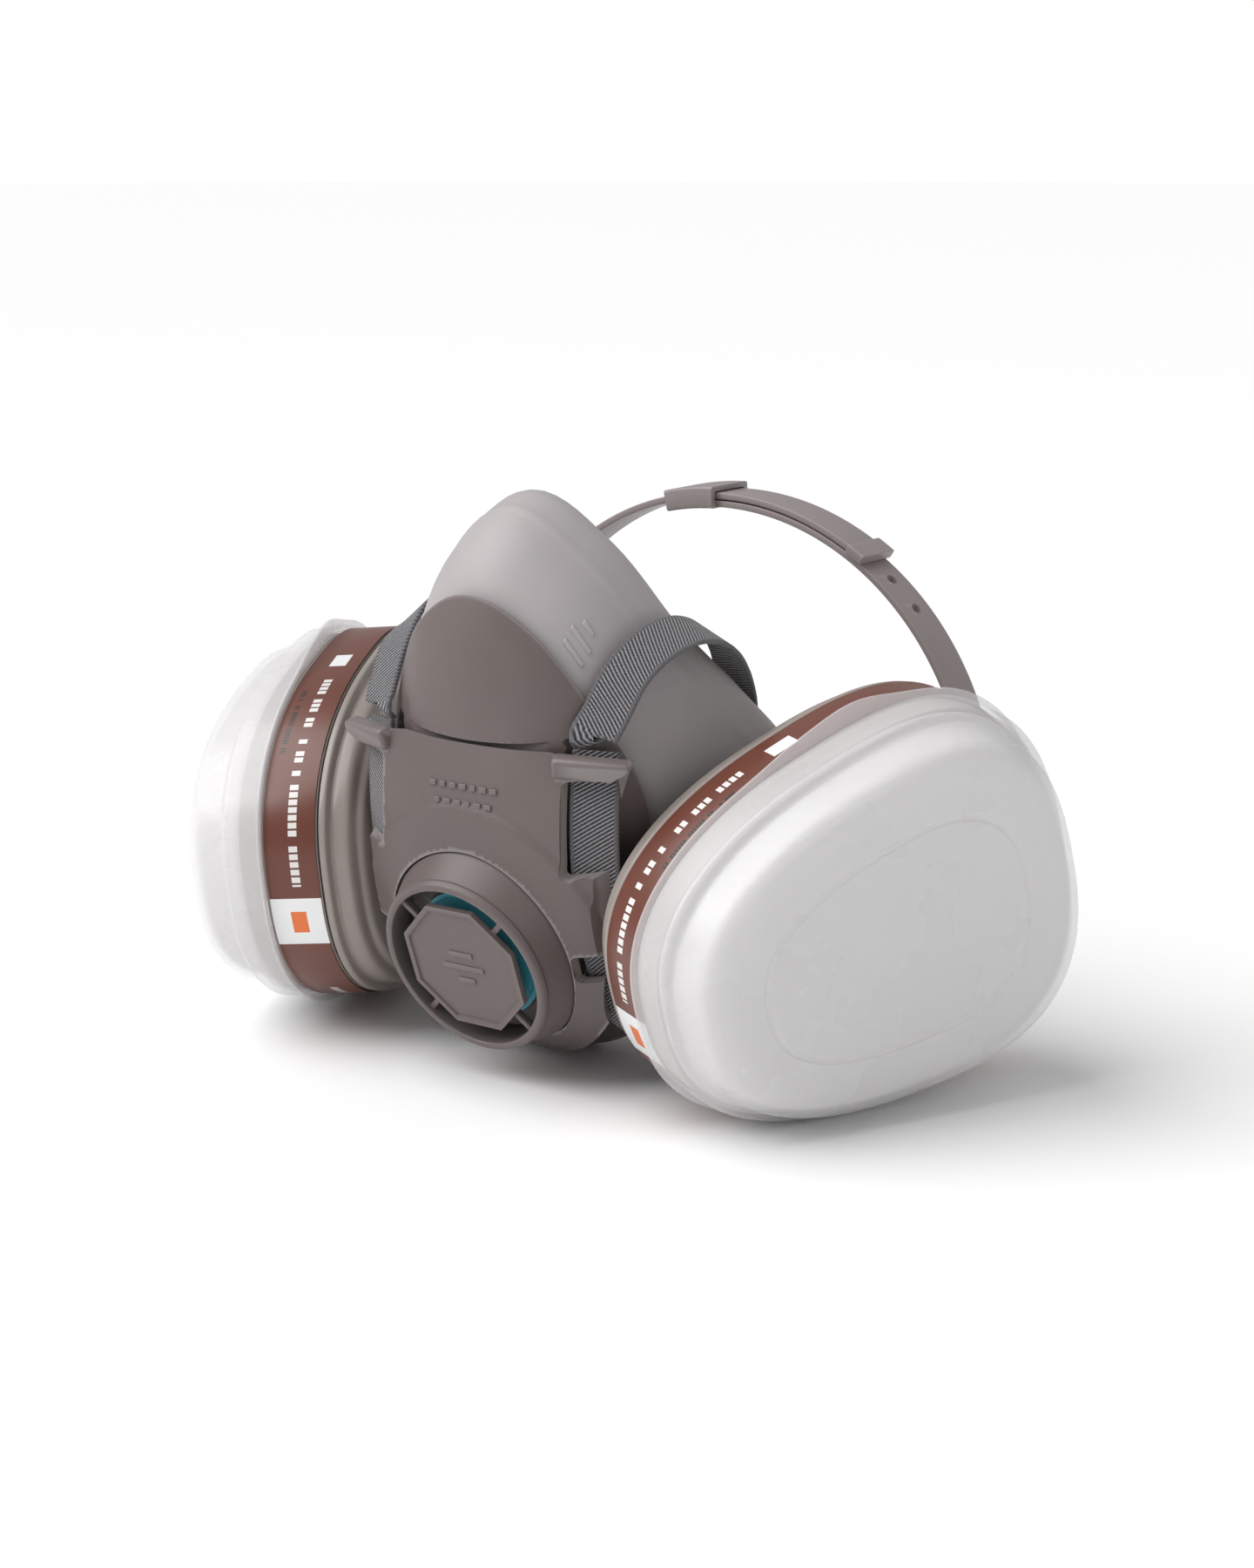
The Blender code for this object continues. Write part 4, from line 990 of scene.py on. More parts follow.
        body = surface(self.columns, 44, point)
        for height in (self.step_height, self.step_height - 0.4):
            parts = body.verts[:] + body.edges[:] + body.faces[:]
            bmesh.ops.bisect_plane(body, geom=parts, plane_co=(0, 0, height * MM), plane_no=(0, 0, 1))
        for vert in body.verts:
            x, z = vert.co.x / MM, vert.co.z / MM
            if z < self.step_height - 0.2:
                behind = 3.0 if x <= 24.5 else yoke.recess
                slope_x = yoke.depth(x + 0.5, z) - yoke.depth(x - 0.5, z)
                slope_z = yoke.depth(x, z + 0.5) - yoke.depth(x, z - 0.5)
                least = yoke.depth(x, z) + behind * math.sqrt(1 + slope_x**2 + slope_z**2)
                vert.co.y = max(vert.co.y, min(least, self.seal_start - 2.4) * MM)
        bore = ("DIFFERENCE", disc(21.3, -40, 20, 96), MASK.inverted() @ VALVE)
        publish("nose_shell", carved(body, 1.6, [bore], True), DARK, "facepiece", MASK, ["front_shell"])


# ---- yoke ----------------------------------------------------------------------------------
@dataclass
class Yoke:
    """Harness yoke: a wrapped plate with strap slots, raised bars and the valve opening."""

    wall: float = 2.6
    top: float = 79.0
    bottom: float = -5.5
    slot_inner: float = 26.5
    slot_outer: float = 37.6
    boss_radius: float = 36.7
    strap_behind: float = 4.0
    recess: float = 6.6
    edge: tuple = ((0, 30.0), (0.2, 34.0), (0.4, 36.5), (0.6, 38.5), (0.77, 41.0), (1, 43.0))

    def depth(self, x: float, z: float) -> float:
        """Depth of the front face in the mask frame."""
        bow = 0.0054 if z > 28 else 0.0115
        turn = min(abs(x) / 52.0, 0.99)
        return 1.6 + bow * (z - 28) ** 2 + 55.0 * (1 - (1 - turn**3) ** (1 / 3))

    def point(self, u: float, v: float) -> tuple:
        """A point of the front face, with the raised arc about the valve."""
        x = -3.1 + (blend_stations(self.edge, v) + 3.1) * u
        high = self.top - 0.2 * max(0.0, x - 22.0)
        low = self.bottom + 0.02 * x * x
        z = low + v * (high - low)
        away = math.hypot(x, z - VALVE_HEIGHT) - self.boss_radius
        rise = 0.8 * step(0.5, -0.5, away)
        return (x, self.depth(x, z) - rise, z)

    def make(self, cartridge: "Cartridge") -> None:
        """The yoke plate with its slots, bars, valve opening and raised dashes.

        Args:
            cartridge: The cartridge whose swing the sides leave room for.
        """
        slope = math.degrees(math.atan2(self.depth(41, 75) - self.depth(25, 77), 16))
        bar_place = moved(33.2, self.depth(33.2, 76) - 0.3, 75.2) @ spun(0.75 * slope, "Z") @ spun(9, "Y")
        tools = [("UNION", block((18.6, 4.4, 5.2), (0, 0, 0), 1.2), bar_place)]
        middle, width = 0.5 * (self.slot_inner + self.slot_outer), self.slot_outer - self.slot_inner
        for low, high in ((51.5, 73.0), (25.6, 32.6)):
            tools.append(("DIFFERENCE", block((width, 60, high - low), (middle, 20, 0.5 * (low + high)), 1.5),
                          Matrix()))
        port = MASK.inverted() @ cartridge.home
        tools.append(("DIFFERENCE", cartridge.sweep(), port))
        tools.append(("DIFFERENCE", disc(26.3, -30, 20, 120), MASK.inverted() @ VALVE))
        body = carved(surface(64, 100, self.point), self.wall, tools, True)
        eased(publish("yoke_plate", body, DARK, "facepiece", MASK, ["harness_yoke"]), 0.5)
        self.make_dashes()

    def make_dashes(self) -> None:
        """Short raised dashes in place of moulded words."""
        dashes = []
        for row, z, first, count in ((0, 70.0, -9.0, 7), (1, 66.4, -7.5, 6), (2, -0.6, -9.0, 7)):
            for k in range(count):
                x = first + 3.0 * k
                tilt = self.depth(x, z + 0.5) - self.depth(x, z - 0.5)
                place = moved(x, self.depth(x, z) - 0.1, z) @ spun(math.degrees(math.atan(-tilt)), "X")
                dashes.append(block((2.0 - 0.5 * ((k + row) % 3 == 1), 0.8, 1.3), (0, 0, 0), 0.2, place))
        publish("yoke_dashes", joined(dashes), DARK, "facepiece", MASK)


# ---- exhalation valve ----------------------------------------------------------------------
@dataclass
class ExhaleValve:
    """Cover with its skirt, spokes and eight-sided guard, and the flap behind it."""

    ring: float = 22.8
    ring_front: float = 4.6
    skirt: float = 26.0
    skirt_depth: float = 9.2
    guard: float = 17.6
    seat: float = 21.0
    flap: float = 16.9

    def octagon(self, radius: float, low: float, high: float) -> bmesh.types.BMesh:
        """An eight-sided plate with its flats level."""
        body = disc(radius, low, high, 8)
        bmesh.ops.transform(body, verts=body.verts, matrix=spun(22.5, "Z"))
        return body

    def make_cover(self) -> None:
        """Press-on cover: rim, skirt, guard plate with a raised border, spokes and plain relief."""
        front, back = self.ring_front, self.ring_front - self.skirt_depth
        rim = [(self.ring, front, 0.7), (self.ring + 0.6, front - 1.6, 0.3),
               (self.ring + 0.3, front - 2.2, 0.2),
               (self.skirt, back, 0.5), (self.skirt, back - 2.5, 0.3), (self.seat + 1.6, back - 2.5, 0.2),
               (self.seat + 0.7, back, 0.2), (self.ring - 1.8, front, 0.6)]
        tools = [("UNION", self.octagon(self.guard, front - 1.7, front - 0.1), Matrix()),
                 ("DIFFERENCE", self.octagon(self.guard - 1.5, front - 0.6, front + 2), Matrix())]
        for k in range(4):
            arm = block((7.0, 1.5, 2.0), (18.4, 0, front - 2.2), 0.35)
            tools.append(("UNION", arm, spun(45 + 90 * k, "Z")))
        body = carved(turned(rim, 0.3, 144), 0.0, tools)
        eased(publish("valve_cover_shell", body, DARK, "valve_cover", VALVE, ["valve_cover"]), 0.25)
        marks = []
        for width, y in ((7.0, 3.6), (12.0, 0.0), (5.0, -3.6)):
            marks.append(block((width, 1.3, 0.7), (0, y, front - 0.5), 0.25))
        publish("guard_relief", joined(marks), DARK, "valve_cover", VALVE)

    def make_flap(self) -> None:
        """Thin silicone disc with a fine rim bead."""
        low = self.ring_front - 7.6 + GAP
        profile = [(self.flap, low, 0.1), (1.9, low, 0.1), (1.9, low + 0.5, 0.1),
                   (self.flap - 1.6, low + 0.5, 0.2),
                   (self.flap - 1.1, low + 0.8, 0.2), (self.flap, low + 0.8, 0.2)]
        publish("exhale_disc", turned(profile, 0.2, 96), SILICONE, "exhale_flap", VALVE, ["exhale_flap"])

    def make_seat(self) -> None:
        """Seat tube with its sealing lip, crossbars and stem."""
        top = self.ring_front - 7.6
        inner = self.flap - 1.6
        profile = [(self.seat, top - 0.6), (self.seat, top - 14), (self.seat - 2, top - 14),
                   (self.seat - 2, top - 1.8), (inner, top - 1.8), (inner, top - 0.2), (inner + 1, top),
                   (inner + 2, top - 0.6)]
        tools = [("UNION", block((32.0, 1.8, 1.8), (0, 0, top - 2.4), 0.3), spun(60 * k + 15, "Z"))
                 for k in range(3)]
        tools.append(("UNION", disc(1.6, top - 3, top + 1.0, 32), Matrix()))
        body = carved(turned(profile, 0.2, 96), 0.0, tools)
        publish("exhale_seat", body, DARK, "facepiece", VALVE, ["exhale_valve_seat"])


# ---- cartridges ----------------------------------------------------------------------------
@dataclass
class Cartridge:
    """One cartridge: base, case, printed label, filter pad and frosted snap cap.

    Attributes:
        side: The wearer's side.
        twist: How far its long axis is raised as it stands, degrees.
    """

    side: Side
    twist: float
    length: float = 114.4
    height: float = 90.8
    taper: float = 0.165
    squareness: float = 2.57
    label_width: float = 13.4
    cap_step: float = 10.6
    cap_depth: float = 22.6
    cap_wall: float = 1.1
    back: float = -25.3
    count: int = 144
    home: Matrix = field(init=False)
    place: Matrix = field(init=False)
    perimeter: list = field(init=False)

    def __post_init__(self) -> None:
        """Work out the cartridge's frames and the run of its outline."""
        ports = PortPlace()
        self.home = ports.frame_at(self.side, 17.5)
        self.place = ports.frame_at(self.side, self.twist)
        self.perimeter = [0.0]
        for k in range(self.count):
            a, b = (self.outline(2.0, 0)(2 * math.pi * (k + d) / self.count) for d in (0, 1))
            self.perimeter.append(self.perimeter[-1] + (b - a).length)

    def outline(self, offset: float, height: float, swell: float = 0.0) -> Callable[[float], Vector]:
        """The tapered outline drawn in by offset.

        Args:
            offset: How far inside the cap's rim.
            height: Height along the bayonet's axis.
            swell: How far the lifting tab stands out.

        Returns:
            A function from the angle to the point.
        """
        def at(angle: float) -> Vector:
            """The outline's point at an angle."""
            away = math.degrees(angle) - 84
            inset = offset - swell * math.exp(-(away / 11.0) ** 2)
            c, s = math.cos(angle), math.sin(angle)
            x = math.copysign(abs(c) ** (2 / self.squareness), c)
            y = math.copysign(abs(s) ** (2 / self.squareness), s) * (1 + self.taper * x)
            return Vector(((0.5 * self.length - inset) * x, self.side.value * (0.5 * self.height - inset) * y,
                           height))

        return at

    def circle(self, radius: float, height: float, deep: float = 0.0) -> Callable[[float], Vector]:
        """A round ring matched to the outline.

        Args:
            radius: Its radius.
            height: Height along the bayonet's axis.
            deep: Radius in the three lug notches, or 0 for none.

        Returns:
            A function from the angle to the point.
        """
        def at(angle: float) -> Vector:
            """The ring's point at an angle."""
            local = (math.degrees(angle) + 30 * self.side.value + 60) % 120 - 60
            reach = deep if deep and abs(local) < 26 else radius
            return Vector((reach * math.cos(angle), self.side.value * reach * math.sin(angle), height))

        return at

    def swept(self, rows: Sequence[Callable[[float], Vector]], loop: bool) -> bmesh.types.BMesh:
        """A skin through rings.

        Args:
            rows: Functions from the angle to a ring's point.
            loop: Whether the last ring joins the first; otherwise the ends are filled.

        Returns:
            The mesh, in metres.
        """
        rings = list(rows) + [rows[0]] if loop else list(rows)

        def point(u: float, v: float) -> Vector:
            """The skin's point."""
            return rings[round(v * (len(rings) - 1))](2 * math.pi * u)

        def unrolled(u: float, v: float) -> tuple:
            """Run along the outline and height, in millimetres."""
            return (self.perimeter[round(u * self.count)], point(u, v).z + self.label_width + 0.3)

        return closed(surface(self.count, len(rings) - 1, point, unrolled, merge=True))

    def rings(self, profile: Sequence[Sequence[float]], radius: float, loop: bool) -> list:
        """Outline rings through a rounded (offset, height) profile."""
        return [self.outline(p.x, p.y) for p in rounded(profile, radius, 3, loop)]

    def sweep(self) -> bmesh.types.BMesh:
        """The room a cartridge takes as it turns either way from home, with a clearance."""
        outline = [self.outline(-1.0, 0)(2 * math.pi * k / 144) for k in range(144)]
        polar = [(math.atan2(p.y, p.x), p.xy.length) for p in outline]

        def reach(angle: float) -> float:
            """The outline's radius nearest an angle."""
            return min(polar, key=lambda p: abs((p[0] - angle + math.pi) % (2 * math.pi) - math.pi))[1]

        widest = [max(reach(2 * math.pi * k / 96 - math.radians(7.5 * t)) for t in range(-4, 5)) + 0.6
                  for k in range(97)]

        def point(u: float, v: float) -> Vector:
            """A point of the swept drum's wall."""
            far = widest[round(u * 96) % 96]
            return Vector((far * math.cos(2 * math.pi * u), far * math.sin(2 * math.pi * u),
                           self.back - 1.2 + v * (9.2 - self.back)))

        return closed(surface(96, 1, point, merge=True))

    def dress(self, part: str, body: bmesh.types.BMesh, finish: Finish, node: str,
              rides: str = "cartridge") -> bpy.types.Object:
        """Publish one of the cartridge's pieces on its body."""
        word = self.side.word
        return publish(f"{part}_{word}", body, finish, f"{rides}_{word}", self.place, [f"{node}_{word}"])

    def make_housing(self) -> None:
        """Base with its bayonet collar, stepped back and round edges; case and printed band."""
        lip = -self.label_width - GAP
        case_out = 2.5
        case_in = case_out + 1.6
        skin = [(case_in + 1.2, lip - 0.4, 0.1), (2.3, lip - 0.4, 0.5), (2.3, lip - 2.2, 0.6),
                (4.4, lip - 2.7, 0.3),
                (4.2, lip - 4.0, 0.5), (4.6, lip - 7.3, 1.6), (7.4, lip - 8.2, 0.5), (8.0, lip - 9.9, 0.9),
                (13.0, self.back, 0.6), (15.0, self.back)]
        rows = self.rings(skin, 0.5, False)
        rows += [self.circle(21.5, self.back), self.circle(21.0, self.back - 2.2),
                 self.circle(15.3, self.back - 2.2, 18.2), self.circle(15.3, self.back + 1.6, 18.2),
                 self.outline(15.0, self.back + 1.6), self.outline(9.6, lip - 7.6),
                 self.outline(case_in + 1.6, lip - 5.5)]
        self.dress("cartridge_bottom", self.swept(rows, True), TAUPE, "cartridge_base")
        case = [(case_out, lip, 0.1), (case_out, 0.4, 0.1), (3.0, 1.2, 0.1), (3.0, 6.3, 0.3),
                (case_in + 0.2, 6.3, 0.3),
                (case_in, lip, 0.1)]
        self.dress("cartridge_wall", self.swept(self.rings(case, 0.2, True), True), TAUPE, "cartridge_case")
        band = [(2.2, lip + GAP), (1.9, lip + GAP), (1.9, -GAP), (2.2, -GAP)]
        self.dress("printed_band", self.swept(self.rings(band, 0.05, True), True), LABEL, "cartridge_label")

    def make_pad(self) -> None:
        """White filter pad, crowned under the cap."""
        rise = self.cap_depth - self.cap_step
        skin = [(3.6, 6.6), (3.4, self.cap_step - 2.2), (6.4, self.cap_step - 0.9),
                (8.0, self.cap_step + 0.66 * rise), (10.6, self.cap_depth - 2.7, 1.2),
                (14, self.cap_depth - 1.8),
                (30, self.cap_depth - 1.8)]
        body = self.swept(self.rings(skin, 0.8, False), False)
        layer = body.loops.layers.uv["UVMap"]
        for face in body.faces:
            for loop in face.loops:
                loop[layer].uv = (loop.vert.co.x / MM, loop.vert.co.y / MM)
        pad = self.dress("filter_pad", body, FLEECE, "prefilter_pad", "prefilter")

    def make_cap(self) -> None:
        """Frosted snap cap: bright lip with its tab, sloping shoulder and domed face."""
        rise = self.cap_depth - self.cap_step
        shape = [(1.3, 1.2, 0.1), (1.5, self.cap_step - 0.9, 0.8), (2.7, self.cap_step, 0.3),
                 (4.4, self.cap_step + 0.6, 0.8), (6.1, self.cap_step + 0.74 * rise, 1.6),
                 (8.6, self.cap_depth - 0.9, 1.4), (12.4, self.cap_depth - 0.1, 1.0),
                 (20.5, self.cap_depth, 0.2), (21.0, self.cap_depth - 0.35, 0.2),
                 (21.8, self.cap_depth - 0.35, 0.2), (22.4, self.cap_depth, 0.2), (30, self.cap_depth)]
        hollow = [(p[0] + self.cap_wall, p[1] - (0.0 if k < 1 else self.cap_wall), *p[2:])
                  for k, p in enumerate(shape) if k not in (7, 8, 9, 10)]
        skin = rounded(shape, 0.3, 3, False)
        inner = rounded(hollow, 0.3, 3, False)
        rows = [self.outline(p.x, p.y) for p in reversed(inner)]
        rows += [self.outline(1.3, 0.0, 3.0), self.outline(0.3, 0.0, 3.0), self.outline(0.0, 0.25, 3.0),
                 self.outline(0.0, 0.75, 3.0), self.outline(0.2, 0.95, 2.8)]
        rows += [self.outline(p.x, p.y) for p in skin]
        self.dress("snap_cap", self.swept(rows, False), FROSTED, "filter_cap", "prefilter")


# ---- straps --------------------------------------------------------------------------------
@dataclass
class HarnessStrap:
    """Webbing strap that follows a route in the object's own frame.

    Attributes:
        side: The wearer's side; the route is given for the left.
        route: Points on its middle line, in millimetres.
        across: Directions across it at those points.
    """

    side: Side
    route: Sequence
    across: Sequence
    width: float = 11.4
    thick: float = 1.2

    def line(self) -> list:
        """Points and places along a smooth curve through the route, a millimetre or so apart."""
        pts = [Vector(p) for p in self.route]
        ends = [2 * pts[0] - pts[1]] + pts + [2 * pts[-1] - pts[-2]]
        fine = []
        for i in range(len(pts) - 1):
            a, b, c, d = ends[i:i + 4]
            count = max(3, round((c - b).length / 1.2))
            for k in range(count):
                t = k / count
                fine.append((0.5 * (2 * b + (c - a) * t + (2 * a - 5 * b + 4 * c - d) * t**2
                                    + (3 * b - a - 3 * c + d) * t**3), i + t))
        return fine + [(pts[-1], len(pts) - 1.0)]

    def make(self, first: float = 0.0, last: float = ROUTE_END) -> bmesh.types.BMesh:
        """The strap's mesh between two places on its route.

        Args:
            first: Place of its start, counted in the route's points.
            last: Place of its end.

        Returns:
            The mesh, in metres, in the object's own frame.
        """
        stops = self.line()
        keep = [k for k, (_, place) in enumerate(stops) if first <= place <= last]
        half, bulge = 0.5 * self.width, 0.5 * self.thick
        section = [(-half, -bulge + 0.3), (-half + 0.3, -bulge), (0, -bulge), (half - 0.3, -bulge),
                   (half, -bulge + 0.3), (half, bulge - 0.3), (half - 0.3, bulge), (0, bulge),
                   (-half + 0.3, bulge), (-half, bulge - 0.3)]
        runs = [0.0]
        for (a, _), (b, _) in zip(stops, stops[1:]):
            runs.append(runs[-1] + (b - a).length)

        def point(u: float, v: float) -> Vector:
            """The strap's point round its section at u, along it at v."""
            k = keep[round(v * (len(keep) - 1))]
            centre, place = stops[k]
            ahead = (stops[min(k + 1, len(stops) - 1)][0] - stops[max(k - 1, 0)][0]).normalized()
            low = min(int(place), len(self.across) - 2)
            wide = Vector(self.across[low]).lerp(Vector(self.across[low + 1]), place - low)
            wide = (wide - ahead * wide.dot(ahead)).normalized()
            a, b = section[round(u * len(section)) % len(section)]
            spot = centre + wide * a + ahead.cross(wide) * b
            return Vector((self.side.value * spot.x, spot.y, spot.z))

        def woven(u: float, v: float) -> tuple:
            """Run along the strap and place across it, in millimetres."""
            return (runs[keep[round(v * (len(keep) - 1))]],
                    section[round(u * len(section)) % len(section)][0])

        return closed(surface(len(section), len(keep) - 1, point, woven, merge=True))


@dataclass
class Harness:
    """Both upper and lower straps and the head cradle."""

    yoke: Yoke
    split: float = 77.3
    ground: float = -3.7
    radius: float = 73.0
    band: float = 1.7
    width: float = 12.0
    middle: tuple = (0.0, 97.0, 49.6)
    foot: float = 9.0
    sleeve: float = 92.0
    tip: float = 58.0
    arch: float = 105.4

    def channel(self, z: float, extra: float = 0.0) -> Vector:
        """Strap middle in the passage behind the yoke, in the object's frame."""
        x = 0.5 * (self.yoke.slot_inner + self.yoke.slot_outer)
        return LEAN @ Vector((x, self.yoke.depth(x, z) + self.yoke.strap_behind + extra, z))

    def make_straps(self, side: Side, lean: float) -> None:
        """One side's upper and lower straps.

        Args:
            side: The wearer's side.
            lean: How far the upper strap leans in over the cheek.
        """
        end, reach = math.radians(self.foot + 3), self.radius - 3.2
        flat = self.ground + 1.9
        flush = LEAN.to_3x3() @ Vector((0.9, 0.44, 0))
        arch = self.arch
        upper = [self.channel(self.split + 2.3, -0.8), self.channel(81.2, -2.0),
                 (33.4 - 0.2 * lean, -3.0, 89),
                 (35.2 - 0.5 * lean, 2.5, arch - 7.9), (37.0 - lean, 10, arch - 2.4), (38.4 - lean, 19, arch),
                 (38.8 - lean, 27, arch - 1.0), (38.0 - lean, 34.5, arch - 4.4),
                 (36.4 - lean, 41.5, arch - 10.4), (34.0 - 0.7 * lean, 47.5, arch - 17.9),
                 (31.5 - 0.3 * lean, 52.5, 79.5), (31, 57, 71.5), (33, 63, 64), (39, 70, 58.5),
                 (49, 80, 55.5),
                 (60, 89.5, 56.5),
                 (self.middle[0] + reach * math.cos(end), self.middle[1],
                  self.middle[2] + reach * math.sin(end))]
        across = [flush, flush, (0.95, 0.3, -0.1), (0.95, 0.2, -0.25)]
        across += [(0.9 - 0.05 * lean, 0.05, -0.42 - 0.06 * lean)] * 4 + [(0.93, 0, -0.3), (1, 0, -0.1),
                                                                          (1, 0, 0)]
        across += [(1, -0.1, 0), (0.85, -0.45, 0), (0.6, -0.7, 0), (0.5, -0.85, 0), (0.4, -0.9, 0),
                   (0, -1, 0)]
        strap = HarnessStrap(side, upper, across)
        last = ROUTE_END if side is Side.LEFT else SPLICE
        front = publish(f"upper_webbing_{side.word}", strap.make(0.0, last), WEBBING, None, ORIGIN,
                        [f"upper_strap_{side.word}"])
        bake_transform(front)
        if side is Side.RIGHT:
            rear = publish("upper_webbing_right_rear", strap.make(SPLICE), WEBBING, None, ORIGIN)
            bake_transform(rear)
        lower = [self.channel(self.split), self.channel(62), self.channel(46), self.channel(28),
                 self.channel(12),
                 self.channel(3, 1.0), (33.5, 20, 2.6), (35, 32, 0.2), (36.8, 50, flat), (37.5, 64, flat),
                 (37.5, 78, flat), (37.0, 90, flat), (31.0, 102, flat), (22, 109.5, flat), (12.5, 112, flat)]
        across = [flush] * 6 + [(1, 0.1, 0)] * 4 + [(1, 0, 0)] * 2 + [(0.8, 0.6, 0), (0.45, 0.9, 0),
                                                                      (0, 1, 0)]
        strap = HarnessStrap(side, lower, across)
        publish(f"lower_webbing_{side.word}", strap.make(), WEBBING, "facepiece", ORIGIN,
                [f"lower_strap_{side.word}"])

    def arc(self, inner: float, outer: float, width: float, start: float, end: float,
            corner: float = 0.5) -> bmesh.types.BMesh:
        """A curved bar about the cradle's axis.

        Args:
            inner: Inner radius.
            outer: Outer radius.
            width: Width along the axis.
            start: First angle above level, degrees.
            end: Last angle.
            corner: Radius of its long edges.

        Returns:
            The mesh, in metres, in the cradle's frame.
        """
        half = 0.5 * width
        outline = rounded([(inner, -half), (outer, -half), (outer, half), (inner, half)], corner)
        body = bmesh.new()
        face = body.faces.new([body.verts.new((p.x * MM, p.y * MM, 0)) for p in outline])
        steps = max(2, round(abs(end - start) / 1.5))
        bmesh.ops.spin(body, geom=[face] + face.edges[:] + face.verts[:], cent=(0, 0, 0), axis=(0, 1, 0),
                       angle=math.radians(start - end), steps=steps)
        bmesh.ops.transform(body, verts=body.verts, matrix=spun(-start, "Y"))
        bmesh.ops.remove_doubles(body, verts=body.verts, dist=1e-7)
        return closed(body)

    def make_cradle(self) -> None:
        """Two crown bands with their holes and feet; the right one runs through the left one's sleeve."""
        place = ORIGIN @ moved(*self.middle)
        inner, outer = self.radius, self.radius + self.band
        over_in, over_out = outer + GAP, outer + GAP + self.band
        sleeve = self.sleeve
        left = [("UNION", self.arc(inner - 0.2, over_out + 1.6, self.width + 4.2, sleeve, sleeve + 11, 0.9),
                 Matrix()),
                ("UNION", self.arc(inner - 1.0, outer + 1.0, self.width + 5, self.foot - 0.5,
                                   self.foot + 6.5, 0.9),
                 Matrix()),
                ("DIFFERENCE", self.arc(over_in - 0.25, over_out + GAP, self.width + 0.9, sleeve - 3,
                                        sleeve + 14, 0.2),
                 Matrix())]
        left += [("DIFFERENCE", disc(1.5, 60, 90, 24), spun(90 - 44 - 7.5 * k, "Y")) for k in range(3)]
        right = [("UNION", self.arc(over_in - 0.4, over_out + 0.4, self.width + 5, 174 - self.foot + 0.5,
                                    180 - self.foot + 0.5, 0.9), Matrix()),
                 ("UNION", self.arc(over_in - 0.1, over_out + 0.7, self.width + 2.6, self.tip - 1.5,
                                    self.tip + 2.5, 0.8), Matrix())]
        right += [("DIFFERENCE", disc(1.5, 60, 90, 24), spun(90 - 132 - 7.5 * k, "Y")) for k in range(3)]
        for name, low, high, radii, tools, rides in (
                ("left", self.foot, sleeve + 10, (inner, outer), left, "harness"),
                ("right", self.tip, 180 - self.foot, (over_in, over_out), right, "crown_band")):
            body = carved(self.arc(*radii, self.width, low, high), 0.0, tools)
            eased(publish(f"crown_band_{name}", body, CRADLE, rides, place, [f"cradle_band_{name}"]), 0.25)


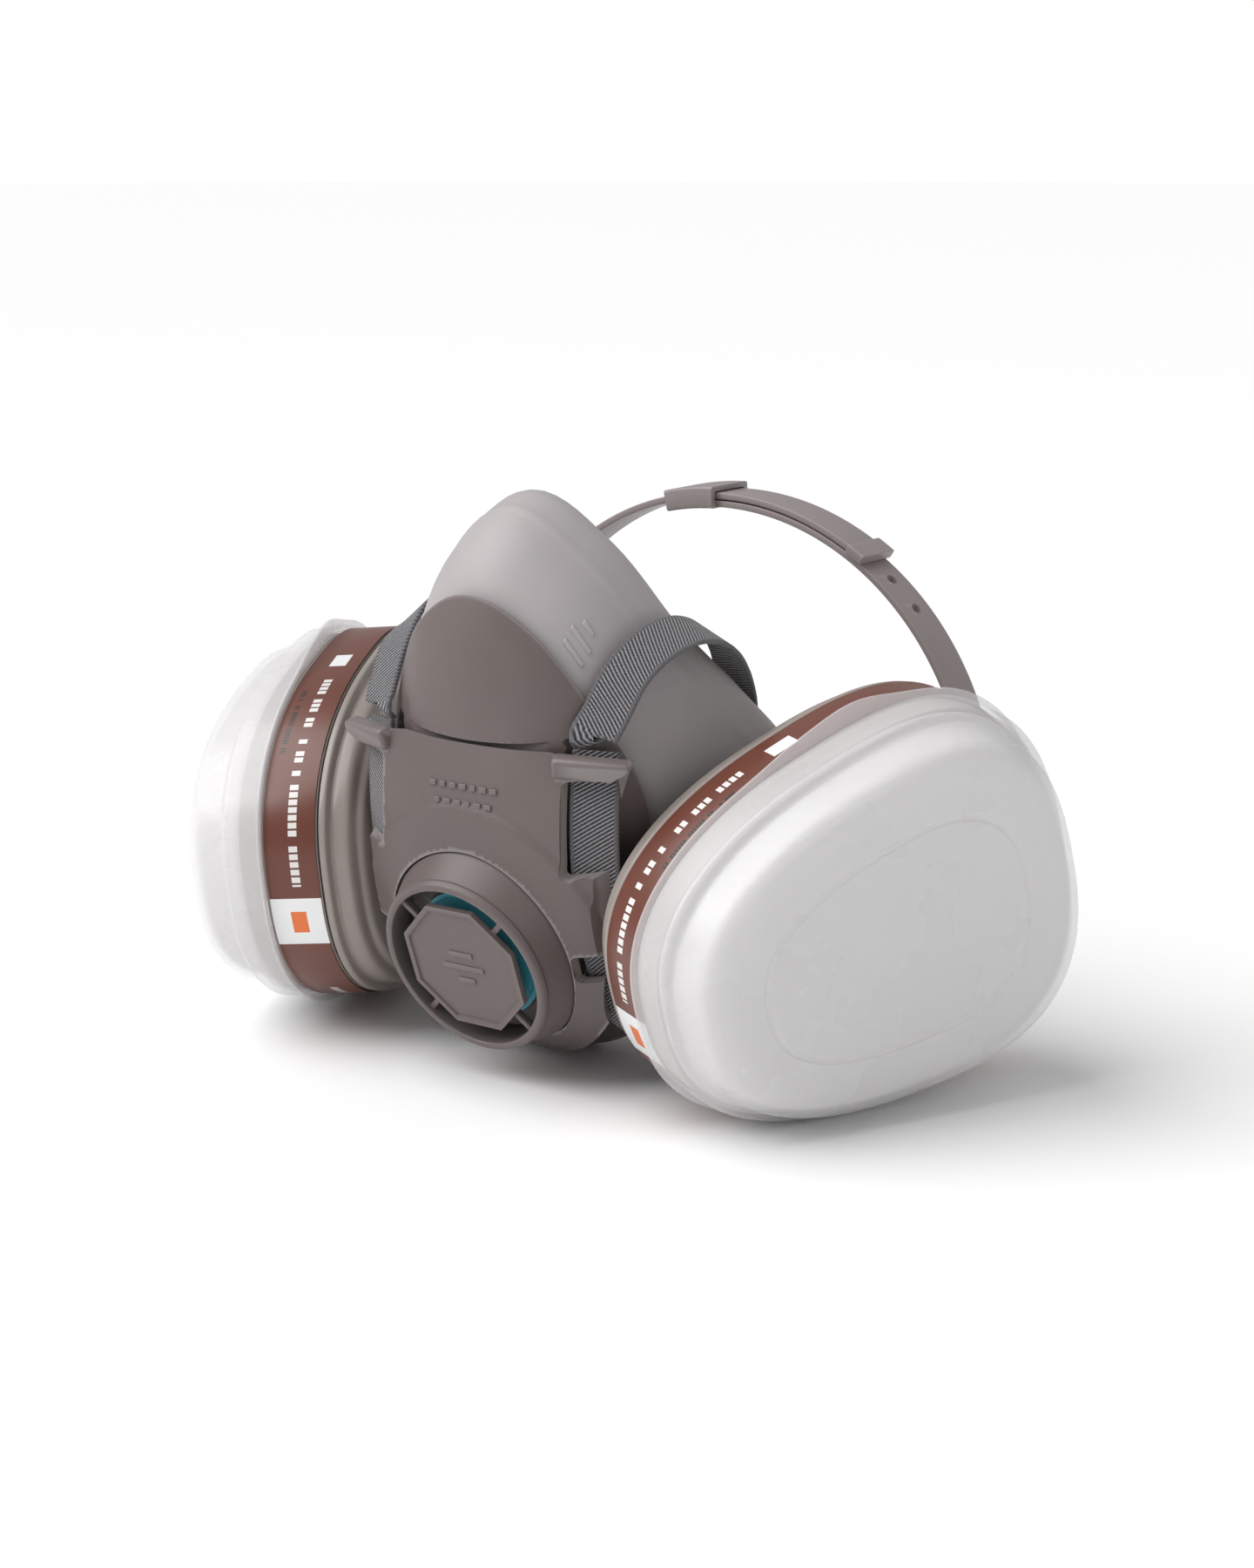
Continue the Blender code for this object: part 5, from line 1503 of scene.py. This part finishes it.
# ---- studio --------------------------------------------------------------------------------
@dataclass
class Studio:
    """Pale floor, soft lights and the camera."""

    eye: tuple = (445.3, -594.3, 234.4)
    target: tuple = (14.96, -17.5, 67.8)
    lens: float = 70.9
    fill: float = 0.44

    def make_camera(self) -> None:
        """Camera at the object's three-quarter front."""
        data = bpy.data.cameras.new("studio_camera")
        data.lens, data.sensor_width, data.clip_end = self.lens, 36.0, 50.0
        data.sensor_fit = "AUTO"
        camera = bpy.data.objects.new("studio_camera", data)
        bpy.context.scene.collection.objects.link(camera)
        camera.location = Vector(self.eye) * MM
        aim = (Vector(self.target) - Vector(self.eye)).normalized()
        camera.rotation_euler = aim.to_track_quat("-Z", "Y").to_euler()
        bpy.context.scene.camera = camera

    def light(self, name: str, spot: Sequence[float], size: float, power: float) -> None:
        """A square soft light aimed at the object.

        Args:
            name: The light's name.
            spot: Its place in metres.
            size: Its side in metres.
            power: Its power in watts.
        """
        data = bpy.data.lights.new(name, "AREA")
        data.size, data.energy = size, power
        lamp = bpy.data.objects.new(name, data)
        bpy.context.scene.collection.objects.link(lamp)
        lamp.location = spot
        lamp.rotation_euler = (Vector((0, 0, 0.06)) - Vector(spot)).to_track_quat("-Z", "Y").to_euler()

    def make_room(self) -> None:
        """Floor, world and lights."""
        floor_mesh = bpy.data.meshes.new("floor")
        body = bmesh.new()
        bmesh.ops.create_circle(body, cap_ends=True, segments=64, radius=6.0)
        body.to_mesh(floor_mesh)
        body.free()
        material = bpy.data.materials.new("pale_floor")
        material.use_nodes = True
        shader = material.node_tree.nodes["Principled BSDF"]
        shader.inputs["Base Color"].default_value = (0.97, 0.97, 0.97, 1.0)
        shader.inputs["Roughness"].default_value = 0.75
        floor_mesh.materials.append(material)
        floor = bpy.data.objects.new("floor", floor_mesh)
        bpy.context.scene.collection.objects.link(floor)
        floor.location.z = -0.0002
        world = bpy.data.worlds.new("studio_world")
        world.use_nodes = True
        sky = world.node_tree.nodes["Background"]
        sky.inputs["Color"].default_value = (1.0, 1.0, 1.0, 1.0)
        seen = put(world.node_tree, "LightPath").outputs["Is Camera Ray"]
        strength = maths(world.node_tree, "MULTIPLY_ADD", seen, 1.0 - self.fill, self.fill)
        world.node_tree.links.new(strength, sky.inputs["Strength"])
        bpy.context.scene.world = world
        bpy.context.scene.view_settings.view_transform = "Standard"
        data = bpy.data.lights.new("skylight", "SUN")
        data.energy, data.angle = 2.4, math.radians(60)
        sun = bpy.data.objects.new("skylight", data)
        bpy.context.scene.collection.objects.link(sun)
        sun.rotation_euler = Vector((0.55, 0.5, -1.0)).to_track_quat("-Z", "Y").to_euler()
        self.light("key_softbox", (-0.8, -1.1, 0.8), 0.7, 3.0)
        self.light("side_softbox", (1.3, -0.5, 0.8), 0.7, 1.2)


KEPT_NODES = {"bayonet_port": DARK, "port_gasket": RUBBER, "port_nut": DARK, "inhale_flap": SILICONE,
              "inner_screen": SCREEN, "outer_screen": SCREEN, "carbon_bed": CARBON}


def dress_kept_nodes() -> None:
    """Give each node that stays as it is its finish."""
    for stem, finish in KEPT_NODES.items():
        for side in Side:
            mesh = frame["nodes"][f"{stem}_{side.word}"].data
            mesh.materials.clear()
            mesh.materials.append(MATERIALS[finish.slot])


def main() -> None:
    """Build the studio, then the object's sub-assemblies in order."""
    logging.basicConfig(level=logging.INFO, format="%(name)s: %(message)s")
    studio = Studio()
    studio.make_camera()
    studio.make_room()
    dress_kept_nodes()
    ports, yoke, face = PortPlace(), Yoke(), Facepiece()
    cartridges = [Cartridge(Side.LEFT, 17.5), Cartridge(Side.RIGHT, 5.0)]
    face.make_seal(ports)
    face.make_shell(yoke)
    yoke.make(cartridges[0])
    valve = ExhaleValve()
    valve.make_cover()
    valve.make_flap()
    valve.make_seat()
    for cartridge in cartridges:
        cartridge.make_housing()
        cartridge.make_pad()
        cartridge.make_cap()
    harness = Harness(yoke)
    harness.make_straps(Side.LEFT, 0.0)
    harness.make_straps(Side.RIGHT, 3.0)
    harness.make_cradle()
    for node in ("strap_slide_left", "strap_slide_right", "neck_hook", "neck_loop"):
        polished(node, DARK, 0.5)


if __name__ == "__main__":
    main()
